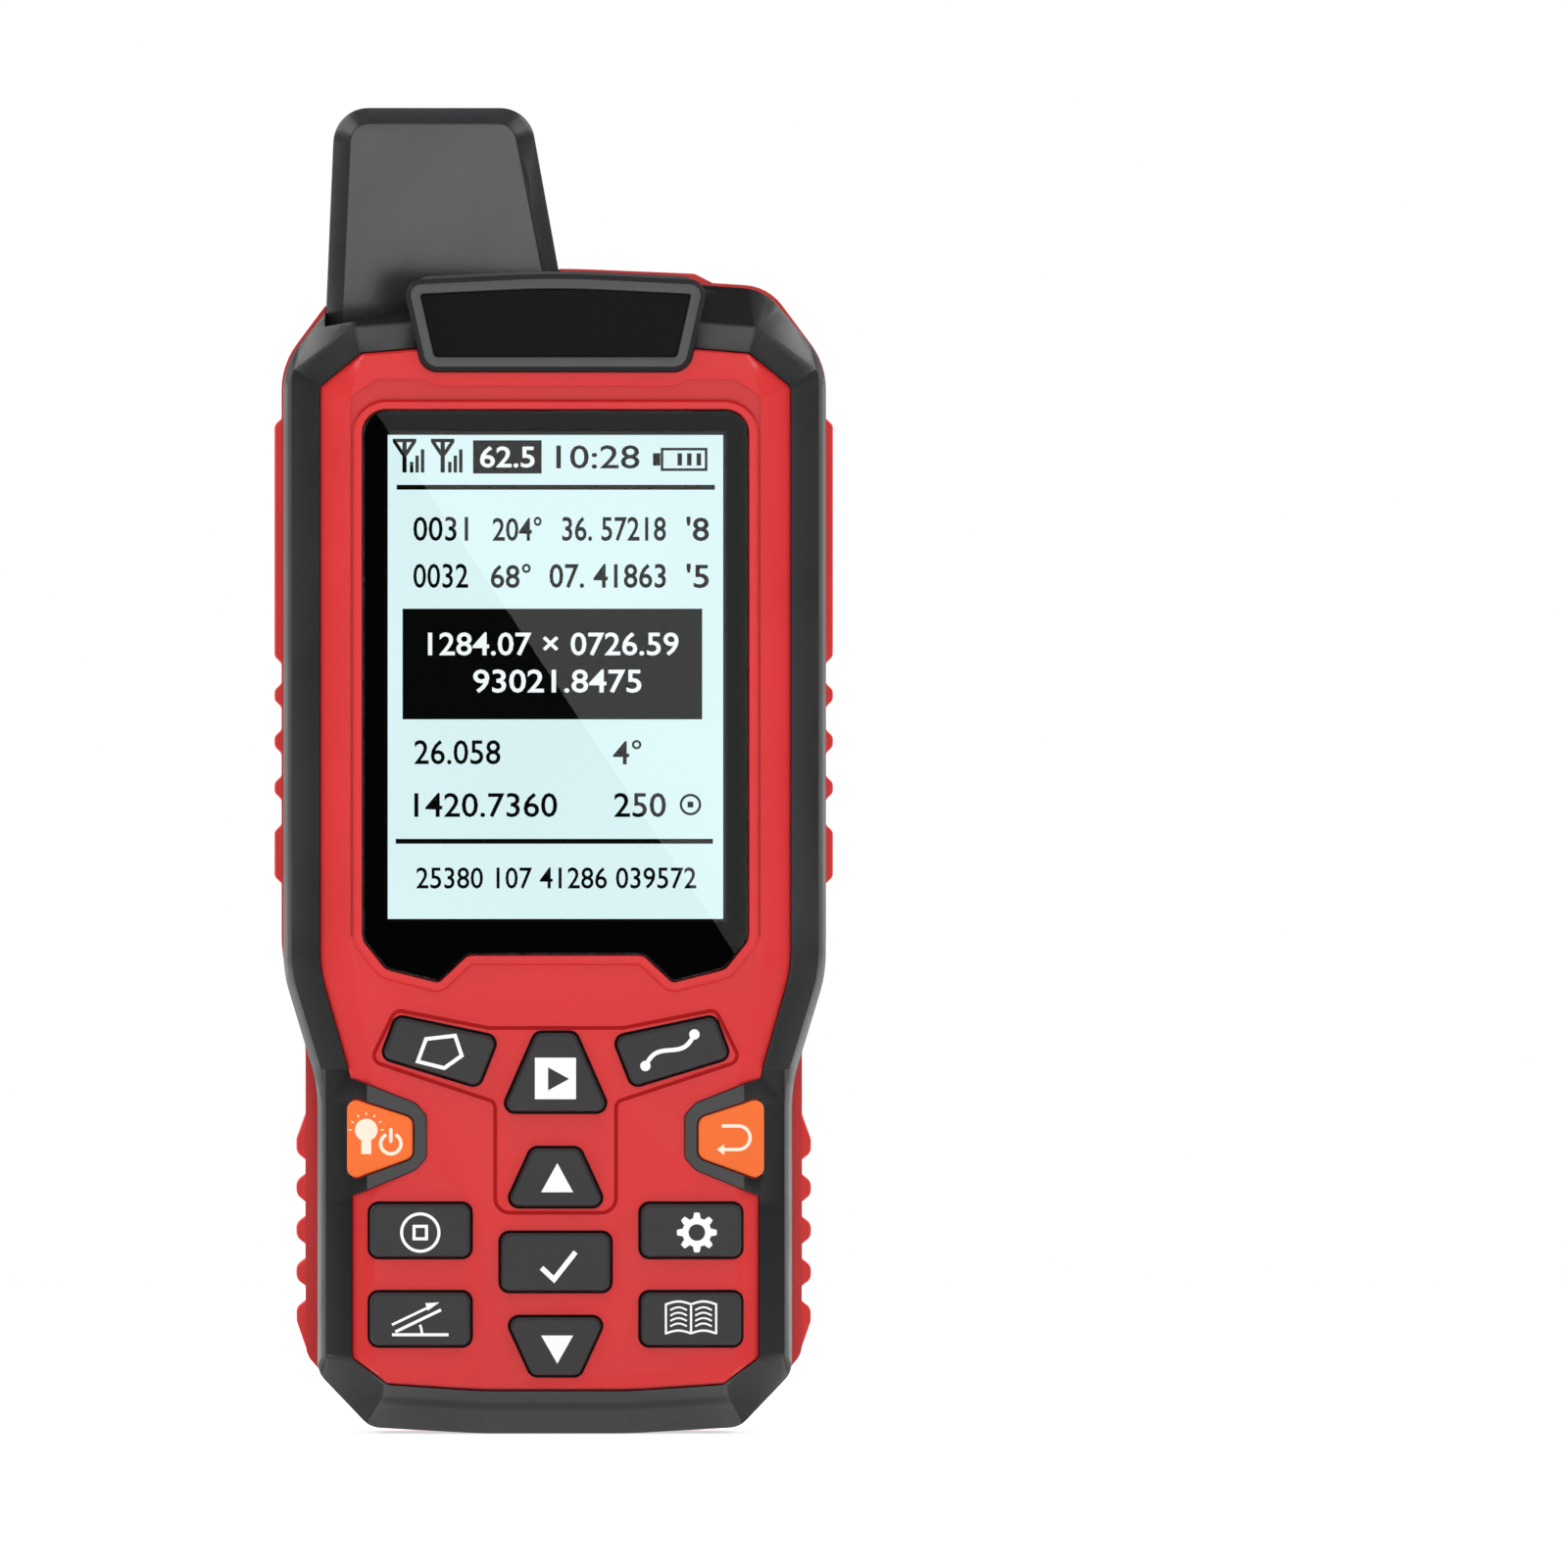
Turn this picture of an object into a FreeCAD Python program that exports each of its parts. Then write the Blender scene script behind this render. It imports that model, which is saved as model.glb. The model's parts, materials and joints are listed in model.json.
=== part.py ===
import FreeCAD, Part
import math
import os
from types import SimpleNamespace

import Sketcher

# Handheld GPS land area meter, standing upright on its lower end.
# +X is the user's right, +Z is up the device and the display looks along -Y.
# Depths in this file are written as "front" values, measured towards the display side,
# so a front value of 5 lies at Y = -5. The origin is the middle of the footprint.

# Driving dimensions in millimetres. Each one becomes a named cell of the spreadsheet.
DIMENSIONS = {
    # case outline, right half seen from the front, without the rear housing's overhang
    "chest_half": 32.7,
    "waist_half": 28.6,
    "waist_top": 42.0,
    "chest_foot": 55.5,
    "shoulder_foot": 129.1,
    "shoulder_half": 25.3,
    "case_top": 138.0,
    "crest_half": 16.5,
    "crest_rise": 0.6,
    "crest_round": 20.0,
    "heel_half": 22.3,
    "heel_rise": 0.75,
    "heel_top": 7.35,
    "flat_half": 9.0,
    "sole_round": 60.0,
    "heel_round": 3.0,
    "flare_round": 16.0,
    "flare_climb": 0.1,
    "shoulder_round": 6.0,
    "shoulder_low_round": 9.0,
    # how far the corners of an inner outline slide, for each millimetre it is drawn in
    "shoulder_slide_top": 0.25,
    "shoulder_drop_top": 0.15,
    "shoulder_drop_side": 0.4,
    "heel_slide_foot": 0.6,
    "heel_slide_side": 0.25,
    "heel_climb_foot": 0.82,
    "heel_climb_side": 0.6,
    # depths
    "facet_front": 16.0,
    "hood_front": 17.0,
    "back_depth": 17.0,
    "plate_inside": 13.4,
    "case_wall": 1.8,
    # grey frame round the front housing
    "band_side": 4.3,
    "band_waist": 4.05,
    "band_top": 7.65,
    "band_foot": 5.2,
    "draft_side": 0.95,
    "draft_top": 4.4,
    "draft_foot": 3.1,
    "draft_depth": 3.6,
    "crease_front": 12.6,
    "band_front": 15.0,
    "band_round": 0.8,
    "crease_round": 1.4,
    # red front housing
    "flank_front": 14.6,
    "flank_side": 3.55,
    "flank_waist": 2.75,
    "flank_end": 0.4,
    # shallow recess round the display and the groove round the upper keys
    "zone_half": 24.7,
    "zone_foot": 60.0,
    "zone_shoulder": 125.0,
    "zone_shoulder_half": 21.6,
    "zone_top": 127.1,
    "zone_step_half": 15.8,
    "zone_dip_half": 14.4,
    "zone_dip": 126.3,
    "zone_round": 0.8,
    "zone_depth": 0.25,
    "groove_stem_half": 7.5,
    "groove_foot": 26.5,
    "groove_elbow": 39.9,
    "groove_tip_half": 22.6,
    "groove_tip": 44.9,
    "groove_top_half": 19.4,
    "groove_top": 51.4,
    "groove_dip_half": 8.1,
    "groove_dip": 49.2,
    "groove_round": 1.3,
    "groove_elbow_round": 0.8,
    "groove_foot_round": 2.0,
    "groove_width": 0.45,
    "groove_depth": 0.25,
    "fit_gap": 0.1,
    "overcut": 1.0,
    # rear housing
    "rear_chest_half": 32.9,
    "rear_waist_half": 30.0,
    "rear_waist_top": 48.0,
    "rear_chest_foot": 57.5,
    "rear_heel_top": 9.4,
    "rear_top": 138.5,
    "rear_shoulder_half": 25.9,
    "rear_rim": 2.8,
    "rear_step": 3.2,
    "rear_straight": 9.0,
    "rear_taper": 5.0,
    "rear_floor": 2.0,
    "cavity_shelf": 8.0,
    "cavity_top": 130.2,
    "hump_half": 20.5,
    "hump_edge_half": 16.9,
    "hump_edge": 139.95,
    "hump_top": 140.65,
    "hump_round": 1.2,
    "crown_round": 120.0,
    # display glass and the bead round it
    "glass_half": 23.2,
    "glass_top": 123.4,
    "glass_side_foot": 59.6,
    "glass_lobe_half": 20.4,
    "glass_lobe_foot": 56.1,
    "glass_low_half": 14.1,
    "glass_low": 54.5,
    "notch_half": 10.6,
    "notch_top": 57.8,
    "glass_round": 2.8,
    "notch_round": 1.4,
    "glass_low_round": 0.8,
    "glass_lobe_round": 1.6,
    "glass_side_round": 2.4,
    "glass_thickness": 1.1,
    "glass_sink": 0.3,
    "glass_gap": 0.15,
    "tape_thickness": 0.3,
    "bead_width": 1.1,
    "bead_height": 0.5,
    "bead_round": 0.45,
    # display stack
    "view_half": 20.2,
    "view_foot": 62.1,
    "view_top": 120.4,
    "view_margin": 0.4,
    "panel_margin": 1.8,
    "panel_thickness": 2.0,
    "backlight_thickness": 2.3,
    "tray_wall": 1.4,
    "stack_gap": 0.1,
    # boards
    "board_front": 8.0,
    "board_thickness": 1.6,
    "board_gap": 0.4,
    "keyboard_front": 10.4,
    "keyboard_thickness": 1.0,
    "keyboard_top": 51.0,
    "link_height": 4.0,
    "link_inset": 1.0,
    # keys
    "key_travel": 0.8,
    "key_proud": 0.9,
    "key_gap": 0.2,
    "key_round": 1.15,
    "key_edge": 0.35,
    "tab_thickness": 0.6,
    "tab_reach": 0.7,
    "dome_radius": 2.2,
    "dome_height": 0.4,
    "button_radius": 1.8,
    "membrane_thickness": 0.8,
    "side_key_x": 16.3,
    "side_key_half": 6.15,
    "side_key_height": 6.6,
    "upper_row": 24.6,
    "lower_row": 13.95,
    "middle_key_half": 6.7,
    "middle_key_foot": 17.2,
    "middle_key_height": 7.2,
    "arrow_wide": 6.2,
    "arrow_narrow": 2.9,
    "arrow_height": 7.2,
    "up_key_foot": 27.4,
    "down_key_foot": 7.05,
    "start_wide": 6.65,
    "start_narrow": 2.4,
    "start_height": 9.7,
    "start_foot": 38.8,
    "wing_inner_half": 6.85,
    "wing_inner_top": 47.9,
    "wing_inner_low_half": 9.25,
    "wing_inner_foot": 41.8,
    "wing_outer_half": 19.2,
    "wing_outer_top": 50.5,
    "wing_outer_low_half": 21.1,
    "wing_outer_foot": 45.4,
    # grey islands with the two orange keys
    "island_half": 15.6,
    "island_shoulder_half": 16.9,
    "island_outer_half": 24.9,
    "island_top": 43.0,
    "island_neck_top": 39.9,
    "island_neck_foot": 31.9,
    "island_foot": 28.6,
    "island_floor": 14.6,
    "island_front": 16.3,
    "island_round": 1.5,
    "island_edge_half": 22.7,
    "thumb_inner_half": 17.2,
    "thumb_outer_half": 25.1,
    "thumb_inner_top": 38.1,
    "thumb_outer_top": 40.7,
    "thumb_inner_foot": 33.4,
    "thumb_outer_foot": 30.5,
    "thumb_front": 16.9,
    "thumb_thickness": 1.4,
    "thumb_fall": 1.0,
    "stem_x": 19.9,
    "stem_half": 1.6,
    "stem_tab": 0.6,
    "stem_round": 0.4,
    # hood bezel and its plate
    "hood_low_half": 16.0,
    "hood_foot": 128.0,
    "hood_high_half": 18.5,
    "hood_side_top": 139.0,
    "hood_crown": 139.9,
    "hood_back": 14.2,
    "hood_roof_foot": 134.9,
    "hood_border": 1.7,
    "hood_recess": 1.0,
    "hood_plate_thickness": 0.6,
    "hood_round": 2.3,
    "hood_tip_round": 1.9,
    "roof_rise": 0.4,
    "hood_edge": 0.6,
    # antenna
    "antenna_left": 27.65,
    "antenna_right": 1.95,
    "antenna_seat": 132.5,
    "antenna_top": 160.0,
    "antenna_top_left": 26.5,
    "antenna_top_right": 3.05,
    "antenna_front": 6.5,
    "antenna_back": 9.0,
    "antenna_split": 1.0,
    "antenna_bevel": 2.0,
    "antenna_bevel_depth": 2.4,
    "antenna_round": 4.2,
    "antenna_wall": 1.6,
    "post_inset": 2.0,
    "notch_outer": 133.5,
    "notch_inner": 135.4,
    # battery and its door
    "bay_half": 20.5,
    "bay_foot": 20.0,
    "bay_top": 86.0,
    "bay_wall": 1.2,
    "bay_round": 1.0,
    "battery_round": 3.0,
    "battery_thickness": 8.3,
    "battery_gap": 0.3,
    "door_half": 21.5,
    "door_top": 92.0,
    "door_thickness": 1.4,
    "tongue_reach": 1.0,
    "tongue_thickness": 1.0,
    "door_gap": 0.15,
    "ridge_half": 10.0,
    "ridge_foot": 12.0,
    "ridge_pitch": 2.4,
    "ridge_width": 1.2,
    "ridge_depth": 0.5,
    # grips
    "grip_sink": 1.0,
    "grip_proud": 0.85,
    "grip_front": 0.6,
    "grip_foot": 66.3,
    "grip_top": 122.6,
    "grip_pad_foot": 93.8,
    "grip_pad_end": 72.6,
    "rib_pitch": 5.6,
    "rib_length": 1.2,
    "rib_ramp": 0.85,
    "rib_round": 0.8,
    "first_rib": 77.9,
    "low_grip_foot": 10.2,
    "low_grip_top": 38.5,
    "low_rib_pitch": 5.1,
    "low_rib_first": 14.2,
    "low_rib_proud": 1.1,
    "low_rib_sink": 0.4,
    "low_rib_flat": 0.8,
    "low_rib_ramp": 1.2,
    "low_rib_round": 1.2,
    # screws
    "screw_upper_inset": 5.3,
    "screw_lower_inset": 4.8,
    "boss_bite": 0.4,
    "screw_radius": 1.0,
    "screw_head": 1.9,
    "screw_head_height": 1.6,
    "screw_seat": 7.4,
    "screw_reach": 5.0,
    "slot_reach": 1.1,
    "slot_half": 0.3,
    "slot_depth": 0.8,
    "boss_radius": 2.2,
    "thread_gap": 0.02,
    "board_screw_foot": 60.5,
    "board_screw_top": 119.5,
    "board_screw_head": 1.2,
    "board_screw_head_height": 0.8,
    "board_screw_reach": 3.0,
    "board_boss_radius": 1.3,
    "board_screw_radius": 0.7,
    # charging port
    "port_half": 6.2,
    "port_back": 2.0,
    "port_front": 8.4,
    "port_round": 1.0,
    "socket_half": 4.5,
    "socket_height": 3.1,
    "socket_end": 5.6,
    "socket_length": 7.4,
    "socket_wall": 0.35,
    "socket_back": 1.4,
    "socket_round": 0.5,
    "blade_half": 3.0,
    "blade_thickness": 0.7,
    "blade_inset": 1.0,
    "cover_thickness": 1.5,
    "cover_sink": 0.25,
    "cover_gap": 0.3,
    "cover_round": 0.8,
    "stub_inset": 1.6,
    "stub_half": 1.2,
    # small inner pieces
    "gasket_width": 1.0,
    "gasket_depth": 0.8,
    "gasket_inset": 1.0,
    "gasket_drop": 0.8,
    "gasket_gap": 0.05,
    "cable_radius": 0.65,
    "cable_gap": 0.5,
    "cable_x": 14.0,
    "cable_back": 3.2,
    "cable_upper_end": 137.5,
    "cable_upper_bend": 125.0,
    "cable_lower_bend": 118.0,
    "cable_lower_end": 113.0,
    "cable_round": 6.0,
    "patch_half": 9.0,
    "patch_thickness": 3.5,
    "antenna_board_half": 9.3,
    "antenna_board_x": 15.1,
    "antenna_board_z": 147.0,
    "antenna_board_thickness": 1.0,
    "plug_half": 1.5,
    "plug_depth": 3.4,
    "module_x": 14.0,
    "module_z": 104.0,
    "module_half": 8.0,
    "module_thickness": 2.4,
    "shield_x": 11.0,
    "shield_z": 101.0,
    "shield_half": 9.0,
    "shield_round": 0.8,
    "shield_thickness": 2.0,
    "chip_half": 4.5,
    "chip_thickness": 1.2,
    "memory_x": 15.0,
    "memory_z": 81.0,
    "power_chip_z": 80.0,
    "driver_x": 13.0,
    "driver_z": 63.0,
    "buzzer_x": 14.0,
    "buzzer_z": 82.0,
    "buzzer_radius": 4.5,
    "buzzer_height": 3.6,
    "cell_x": 14.0,
    "cell_z": 64.0,
    "cell_radius": 5.0,
    "cell_height": 2.4,
    "contact_thickness": 0.5,
    "contact_pitch": 4.0,
    "contact_half": 0.6,
    "pad_z": 53.0,
    "pad_half": 9.0,
    "pad_round": 2.0,
    "pad_thickness": 0.6,
    "pad_gap": 0.4,
}


class Size:
    """A length that knows both its value and the spreadsheet expression it comes from."""

    def __init__(self, value, text=None):
        self.value = float(value)
        self.text = text if text is not None else repr(float(value))

    def join(self, other, sign, result):
        other = size(other)
        return Size(result(self.value, other.value), f"({self.text} {sign} {other.text})")

    def __add__(self, other):
        return self.join(other, "+", lambda a, b: a + b)

    def __sub__(self, other):
        return self.join(other, "-", lambda a, b: a - b)

    def __mul__(self, other):
        return self.join(other, "*", lambda a, b: a * b)

    def __truediv__(self, other):
        return self.join(other, "/", lambda a, b: a / b)

    def __radd__(self, other):
        return size(other) + self

    def __rsub__(self, other):
        return size(other) - self

    def __rmul__(self, other):
        return size(other) * self

    def __neg__(self):
        return Size(-self.value, f"(-{self.text})")


def size(number):
    """Turns a plain number into a Size and leaves a Size as it is."""
    return number if isinstance(number, Size) else Size(number)


def fill_sheet(document):
    """Writes the driving dimensions into the spreadsheet and returns them as Sizes."""
    sheet = document.addObject("Spreadsheet::Sheet", "dims")
    for row, (alias, number) in enumerate(DIMENSIONS.items(), start=1):
        sheet.set(f"A{row}", alias)
        sheet.set(f"B{row}", str(number))
        sheet.setAlias(f"B{row}", alias)
    document.recompute()
    return SimpleNamespace(**{alias: Size(number, f"dims.{alias}") for alias, number in DIMENSIONS.items()})


DOC = FreeCAD.newDocument("area_meter")
D = fill_sheet(DOC)
PIECES = []
SMALL_ROUND = 0.3


def corner(across, up, rounding=0.0):
    """One corner of an outline: where it is and the radius it is rounded to."""
    return SimpleNamespace(x=size(across), y=size(up), r=size(rounding))


def mirrored(right):
    """Closes an outline that is the same on both sides, from its right half, low to high."""
    return right + [corner(-c.x, c.y, c.r) for c in reversed(right)]


def flipped(corners):
    """The same outline on the other side of the middle, kept anticlockwise."""
    return [corner(-c.x, c.y, c.r) for c in reversed(corners)]


def box(left, right, foot, top, rounding=0.0):
    """A rectangle as four corners."""
    return [corner(right, foot, rounding), corner(right, top, rounding),
            corner(left, top, rounding), corner(left, foot, rounding)]


def square(across, up, half, rounding=0.0):
    """A square about its middle."""
    return box(across - half, across + half, up - half, up + half, rounding)


def grown(corners, distance):
    """The outline moved outwards by distance, each corner along its own mitre."""
    distance = size(distance)
    moved = []
    count = len(corners)
    for index, here in enumerate(corners):
        before = corners[index - 1]
        after = corners[(index + 1) % count]
        first = outward(before, here)
        second = outward(here, after)
        share = 1.0 + first[0] * second[0] + first[1] * second[1]
        turn = first[0] * second[1] - first[1] * second[0]
        rounding = here.r
        if rounding.value > 0:
            rounding = here.r + distance if turn > 0 else here.r - distance
            if rounding.value < SMALL_ROUND:
                rounding = size(SMALL_ROUND)
        moved.append(corner(here.x + distance * round((first[0] + second[0]) / share, 4),
                            here.y + distance * round((first[1] + second[1]) / share, 4), rounding))
    return moved


def outward(start, end):
    """Unit vector that points out of an anticlockwise outline across the edge from start to end."""
    run = end.x.value - start.x.value
    rise = end.y.value - start.y.value
    length = math.hypot(run, rise)
    return rise / length, -run / length


class Piece:
    """One sub-part: a body with its own sketches and features, named for its STEP file."""

    def __init__(self, name):
        self.name = name
        self.body = DOC.addObject("PartDesign::Body", name)
        self.body.Label = name
        self.body.AllowCompound = True
        self.count = 0
        PIECES.append(self)

    def sketch(self, plane, place):
        """An empty sketch in one of the body's own planes, moved along its normal by place."""
        self.count += 1
        sketch = self.body.newObject("Sketcher::SketchObject", f"{self.name}_sketch{self.count}")
        origin = [f for f in self.body.Origin.OriginFeatures if f.Role == f"{plane}_Plane"][0]
        sketch.AttachmentSupport = [(origin, "")]
        sketch.MapMode = "FlatFace"
        sketch.setExpression("AttachmentOffset.Base.z", size(place).text)
        return sketch

    def feature(self, kind, **links):
        """A PartDesign feature with its properties set."""
        self.count += 1
        feature = self.body.newObject(f"PartDesign::{kind}", f"{self.name}_{kind.lower()}{self.count}")
        for key, value in links.items():
            setattr(feature, key, value)
        return feature

    def drawn(self, plane, place, outlines, circles):
        """A sketch that holds closed outlines and circles."""
        sketch = self.sketch(plane, place)
        drawing = Drawing(sketch)
        for outline in outlines:
            drawing.outline(outline)
        for across, up, radius in circles:
            drawing.circle(size(across), size(up), size(radius))
        drawing.finish()
        return sketch

    def pad(self, low, high, *outlines, circles=(), plane="XZ"):
        """Adds material from low to high along the plane's normal."""
        sketch = self.drawn(plane, low, outlines, circles)
        pad = self.feature("Pad", Profile=sketch)
        pad.setExpression("Length", (size(high) - low).text)
        return self

    def cut(self, low, high, *outlines, circles=(), plane="XZ"):
        """Takes material away from high down to low along the plane's normal."""
        sketch = self.drawn(plane, high, outlines, circles)
        pocket = self.feature("Pocket", Profile=sketch)
        pocket.setExpression("Length", (size(high) - low).text)
        return self

    def loft(self, *sections, plane="XZ", kind="AdditiveLoft"):
        """Blends straight between outlines, each given as (place, corners)."""
        sketches = [self.drawn(plane, place, [corners], ()) for place, corners in sections]
        self.feature(kind, Profile=sketches[0], Sections=sketches[1:], Ruled=True)
        return self

    def soften(self, radius, choose, kind="Fillet"):
        """Rounds or chamfers the edges that choose picks, by their middle point and direction."""
        DOC.recompute()
        base = self.body.Tip
        names = []
        for number, edge in enumerate(base.Shape.Edges, start=1):
            if choose(edge):
                names.append(f"Edge{number}")
        feature = self.feature(kind, Base=(base, names))
        feature.setExpression("Radius" if kind == "Fillet" else "Size", size(radius).text)
        return self


class Drawing:
    """Collects geometry and constraints for one sketch and adds them in one go."""

    def __init__(self, sketch):
        self.sketch = sketch
        self.shapes = []
        self.rules = []
        self.sizes = {}

    def add(self, shape):
        """Queues one line, arc, circle or point and returns its number in the sketch."""
        self.shapes.append(shape)
        return len(self.shapes) - 1

    def rule(self, kind, *arguments):
        """Queues one constraint."""
        self.rules.append(Sketcher.Constraint(kind, *arguments))

    def bind(self, kind, arguments, length):
        """Queues one sized constraint that follows the expression of length."""
        self.sizes[len(self.rules)] = length.text
        self.rule(kind, *arguments)

    def pin(self, index, end, across, up):
        """Places one point of the sketch from the origin."""
        self.bind("DistanceX", (-1, 1, index, end, across.value), across)
        self.bind("DistanceY", (-1, 1, index, end, up.value), up)

    def circle(self, across, up, radius):
        """A circle whose middle and radius are bound to expressions."""
        centre = FreeCAD.Vector(across.value, up.value, 0)
        index = self.add(Part.Circle(centre, FreeCAD.Vector(0, 0, 1), radius.value))
        self.bind("Radius", (index, radius.value), radius)
        self.pin(index, 3, across, up)

    def outline(self, corners, closed=True):
        """Lines between the corners, with a tangent arc at each corner that has a radius."""
        count = len(corners)
        points = [FreeCAD.Vector(c.x.value, c.y.value, 0) for c in corners]
        rounds = [round_corner(points, index, corners[index].r.value, closed) for index in range(count)]
        lines = []
        for index in range(count if closed else count - 1):
            following = (index + 1) % count
            lines.append(self.add(Part.LineSegment(rounds[index].leave, rounds[following].reach)))
        for index, here in enumerate(corners):
            before = lines[index - 1] if closed or index > 0 else None
            after = lines[index] if index < len(lines) else None
            if rounds[index].arc is None:
                if before is not None and after is not None:
                    self.rule("Coincident", before, 2, after, 1)
                if after is not None:
                    self.pin(after, 1, here.x, here.y)
                else:
                    self.pin(before, 2, here.x, here.y)
                continue
            arc = self.add(rounds[index].arc)
            first, second = (1, 2) if rounds[index].left_turn else (2, 1)
            self.rule("Tangent", before, 2, arc, first)
            self.rule("Tangent", arc, second, after, 1)
            self.bind("Radius", (arc, here.r.value), here.r)
            apex = self.add(Part.Point(points[index]))
            self.rule("PointOnObject", apex, 1, before)
            self.rule("PointOnObject", apex, 1, after)
            self.pin(apex, 1, here.x, here.y)

    def finish(self):
        """Adds everything to the sketch and ties the sized constraints to the spreadsheet."""
        self.sketch.addGeometry(self.shapes)
        for index, shape in enumerate(self.shapes):
            if isinstance(shape, Part.Point):
                self.sketch.setConstruction(index, True)
        self.sketch.addConstraint(self.rules)
        for number, text in self.sizes.items():
            self.sketch.setExpression(f"Constraints[{number}]", text)


def round_corner(points, index, radius, closed):
    """Where the lines meet the arc of one corner, and the arc itself."""
    here = points[index]
    at_end = not closed and index in (0, len(points) - 1)
    if radius <= 0 or at_end:
        return SimpleNamespace(arc=None, reach=here, leave=here)
    back = (points[index - 1] - here).normalize()
    onward = (points[(index + 1) % len(points)] - here).normalize()
    half = back.getAngle(onward) / 2
    reach = here + back * (radius / math.tan(half))
    leave = here + onward * (radius / math.tan(half))
    middle = here + (back + onward).normalize() * (radius / math.sin(half))
    left_turn = back.x * onward.y - back.y * onward.x < 0
    start, end = (reach, leave) if left_turn else (leave, reach)
    circle = Part.Circle(middle, FreeCAD.Vector(0, 0, 1), radius)
    arc = Part.ArcOfCircle(circle, angle_about(middle, start), angle_about(middle, end))
    return SimpleNamespace(arc=arc, reach=reach, leave=leave, left_turn=left_turn)


def angle_about(middle, point):
    """Direction of point seen from middle, in radians."""
    return math.atan2(point.y - middle.y, point.x - middle.x)


# Outlines that several pieces share


def heel_corners(waist, foot, rounding=0):
    """The two corners of the right heel, drawn in by waist at the side and by foot from below."""
    waist = size(waist)
    foot = size(foot)
    half = D.heel_half - foot * D.heel_slide_foot + waist * D.heel_slide_side
    top = D.heel_top + foot * D.heel_climb_foot - waist * D.heel_climb_side
    return [corner(half, D.heel_rise + foot, rounding), corner(D.waist_half - waist, top, rounding)]


def case_outline(side, top, foot, rounding=None, waist=None):
    """The waisted case seen from the front, drawn in by side, top and foot, and at the waist by waist.
    Its upper edge rises a little from each shoulder to a level crest."""
    side = size(side)
    waist = side if waist is None else size(waist)
    top = size(top)
    foot = size(foot)
    high = D.shoulder_round if rounding is None else size(rounding)
    low = D.shoulder_low_round if rounding is None else size(rounding)
    crest = D.crest_round if rounding is None else size(rounding)
    heel = D.heel_round if rounding is None else size(rounding)
    shoulder_foot = D.shoulder_foot - top * D.shoulder_drop_top - side * D.shoulder_drop_side
    return mirrored([
        corner(D.flat_half, foot, D.sole_round),
        *heel_corners(waist, foot, heel),
        corner(D.waist_half - waist, D.waist_top + waist * D.flare_climb, D.flare_round),
        corner(D.chest_half - side, D.chest_foot + side * D.flare_climb, D.flare_round),
        corner(D.chest_half - side, shoulder_foot, low),
        corner(D.shoulder_half - top * D.shoulder_slide_top, D.case_top - top, high),
        corner(D.crest_half, D.case_top + D.crest_rise - top, crest)])


def rear_outline():
    """The rear housing, a little wider than the frame so that it shows at the sides."""
    return mirrored([
        corner(D.flat_half, 0, D.sole_round),
        corner(D.heel_half, D.heel_rise, D.heel_round),
        corner(D.rear_waist_half, D.rear_heel_top, D.heel_round),
        corner(D.rear_waist_half, D.rear_waist_top, D.flare_round),
        corner(D.rear_chest_half, D.rear_chest_foot, D.flare_round),
        corner(D.rear_chest_half, D.shoulder_foot, D.shoulder_low_round),
        corner(D.rear_shoulder_half, D.rear_top, D.shoulder_round),
        corner(D.crest_half, D.rear_top + D.crest_rise, D.crest_round)])


def glass_outline():
    """The display glass with its two lobes and the notch between them."""
    return mirrored([
        corner(D.notch_half, D.notch_top, D.notch_round),
        corner(D.glass_low_half, D.glass_low, D.glass_low_round),
        corner(D.glass_lobe_half, D.glass_lobe_foot, D.glass_lobe_round),
        corner(D.glass_half, D.glass_side_foot, D.glass_side_round),
        corner(D.glass_half, D.glass_top, D.glass_round)])


def display_zone():
    """The shallow recess that the display's bead stands in, dipping below the hood."""
    return mirrored([
        corner(D.zone_half, D.zone_foot),
        corner(D.zone_half, D.zone_shoulder, D.zone_round),
        corner(D.zone_shoulder_half, D.zone_top, D.zone_round),
        corner(D.zone_step_half, D.zone_top, D.zone_round),
        corner(D.zone_dip_half, D.zone_dip, D.zone_round)])


def groove_outline():
    """The outer edge of the groove round the two slanted keys, the start key and the up key."""
    return mirrored([
        corner(D.groove_stem_half, D.groove_foot, D.groove_foot_round),
        corner(D.groove_stem_half, D.groove_elbow, D.groove_elbow_round),
        corner(D.groove_tip_half, D.groove_tip, D.groove_round),
        corner(D.groove_top_half, D.groove_top, D.groove_round),
        corner(D.groove_dip_half, D.groove_dip, D.groove_elbow_round)])


def crowned(foot_corner, side_corner, crown):
    """A symmetric outline whose upper edge is one shallow arc, from its right half."""
    left = [corner(-c.x, c.y, c.r) for c in (side_corner, foot_corner)]
    return [foot_corner, side_corner, corner(0, crown, D.crown_round), *left]


def hood_outline():
    """The trapezoid hood over the display, with a crowned upper edge."""
    return crowned(corner(D.hood_low_half, D.hood_foot, D.hood_round),
                   corner(D.hood_high_half, D.hood_side_top, D.hood_tip_round), D.hood_crown)


def roof_outline():
    """The hood's roof, which runs back to the antenna a little higher than the hood's front."""
    half = D.hood_high_half - D.hood_tip_round / 2
    return crowned(corner(half - D.hood_tip_round / 2, D.hood_roof_foot),
                   corner(half, D.hood_side_top + D.roof_rise, D.hood_tip_round), D.hood_crown + D.roof_rise)


def hump_outline():
    """The rear housing's low hump behind the hood."""
    return crowned(corner(D.hump_half, D.case_top + D.fit_gap),
                   corner(D.hump_edge_half, D.hump_edge, D.hump_round), D.hump_top)


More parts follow.
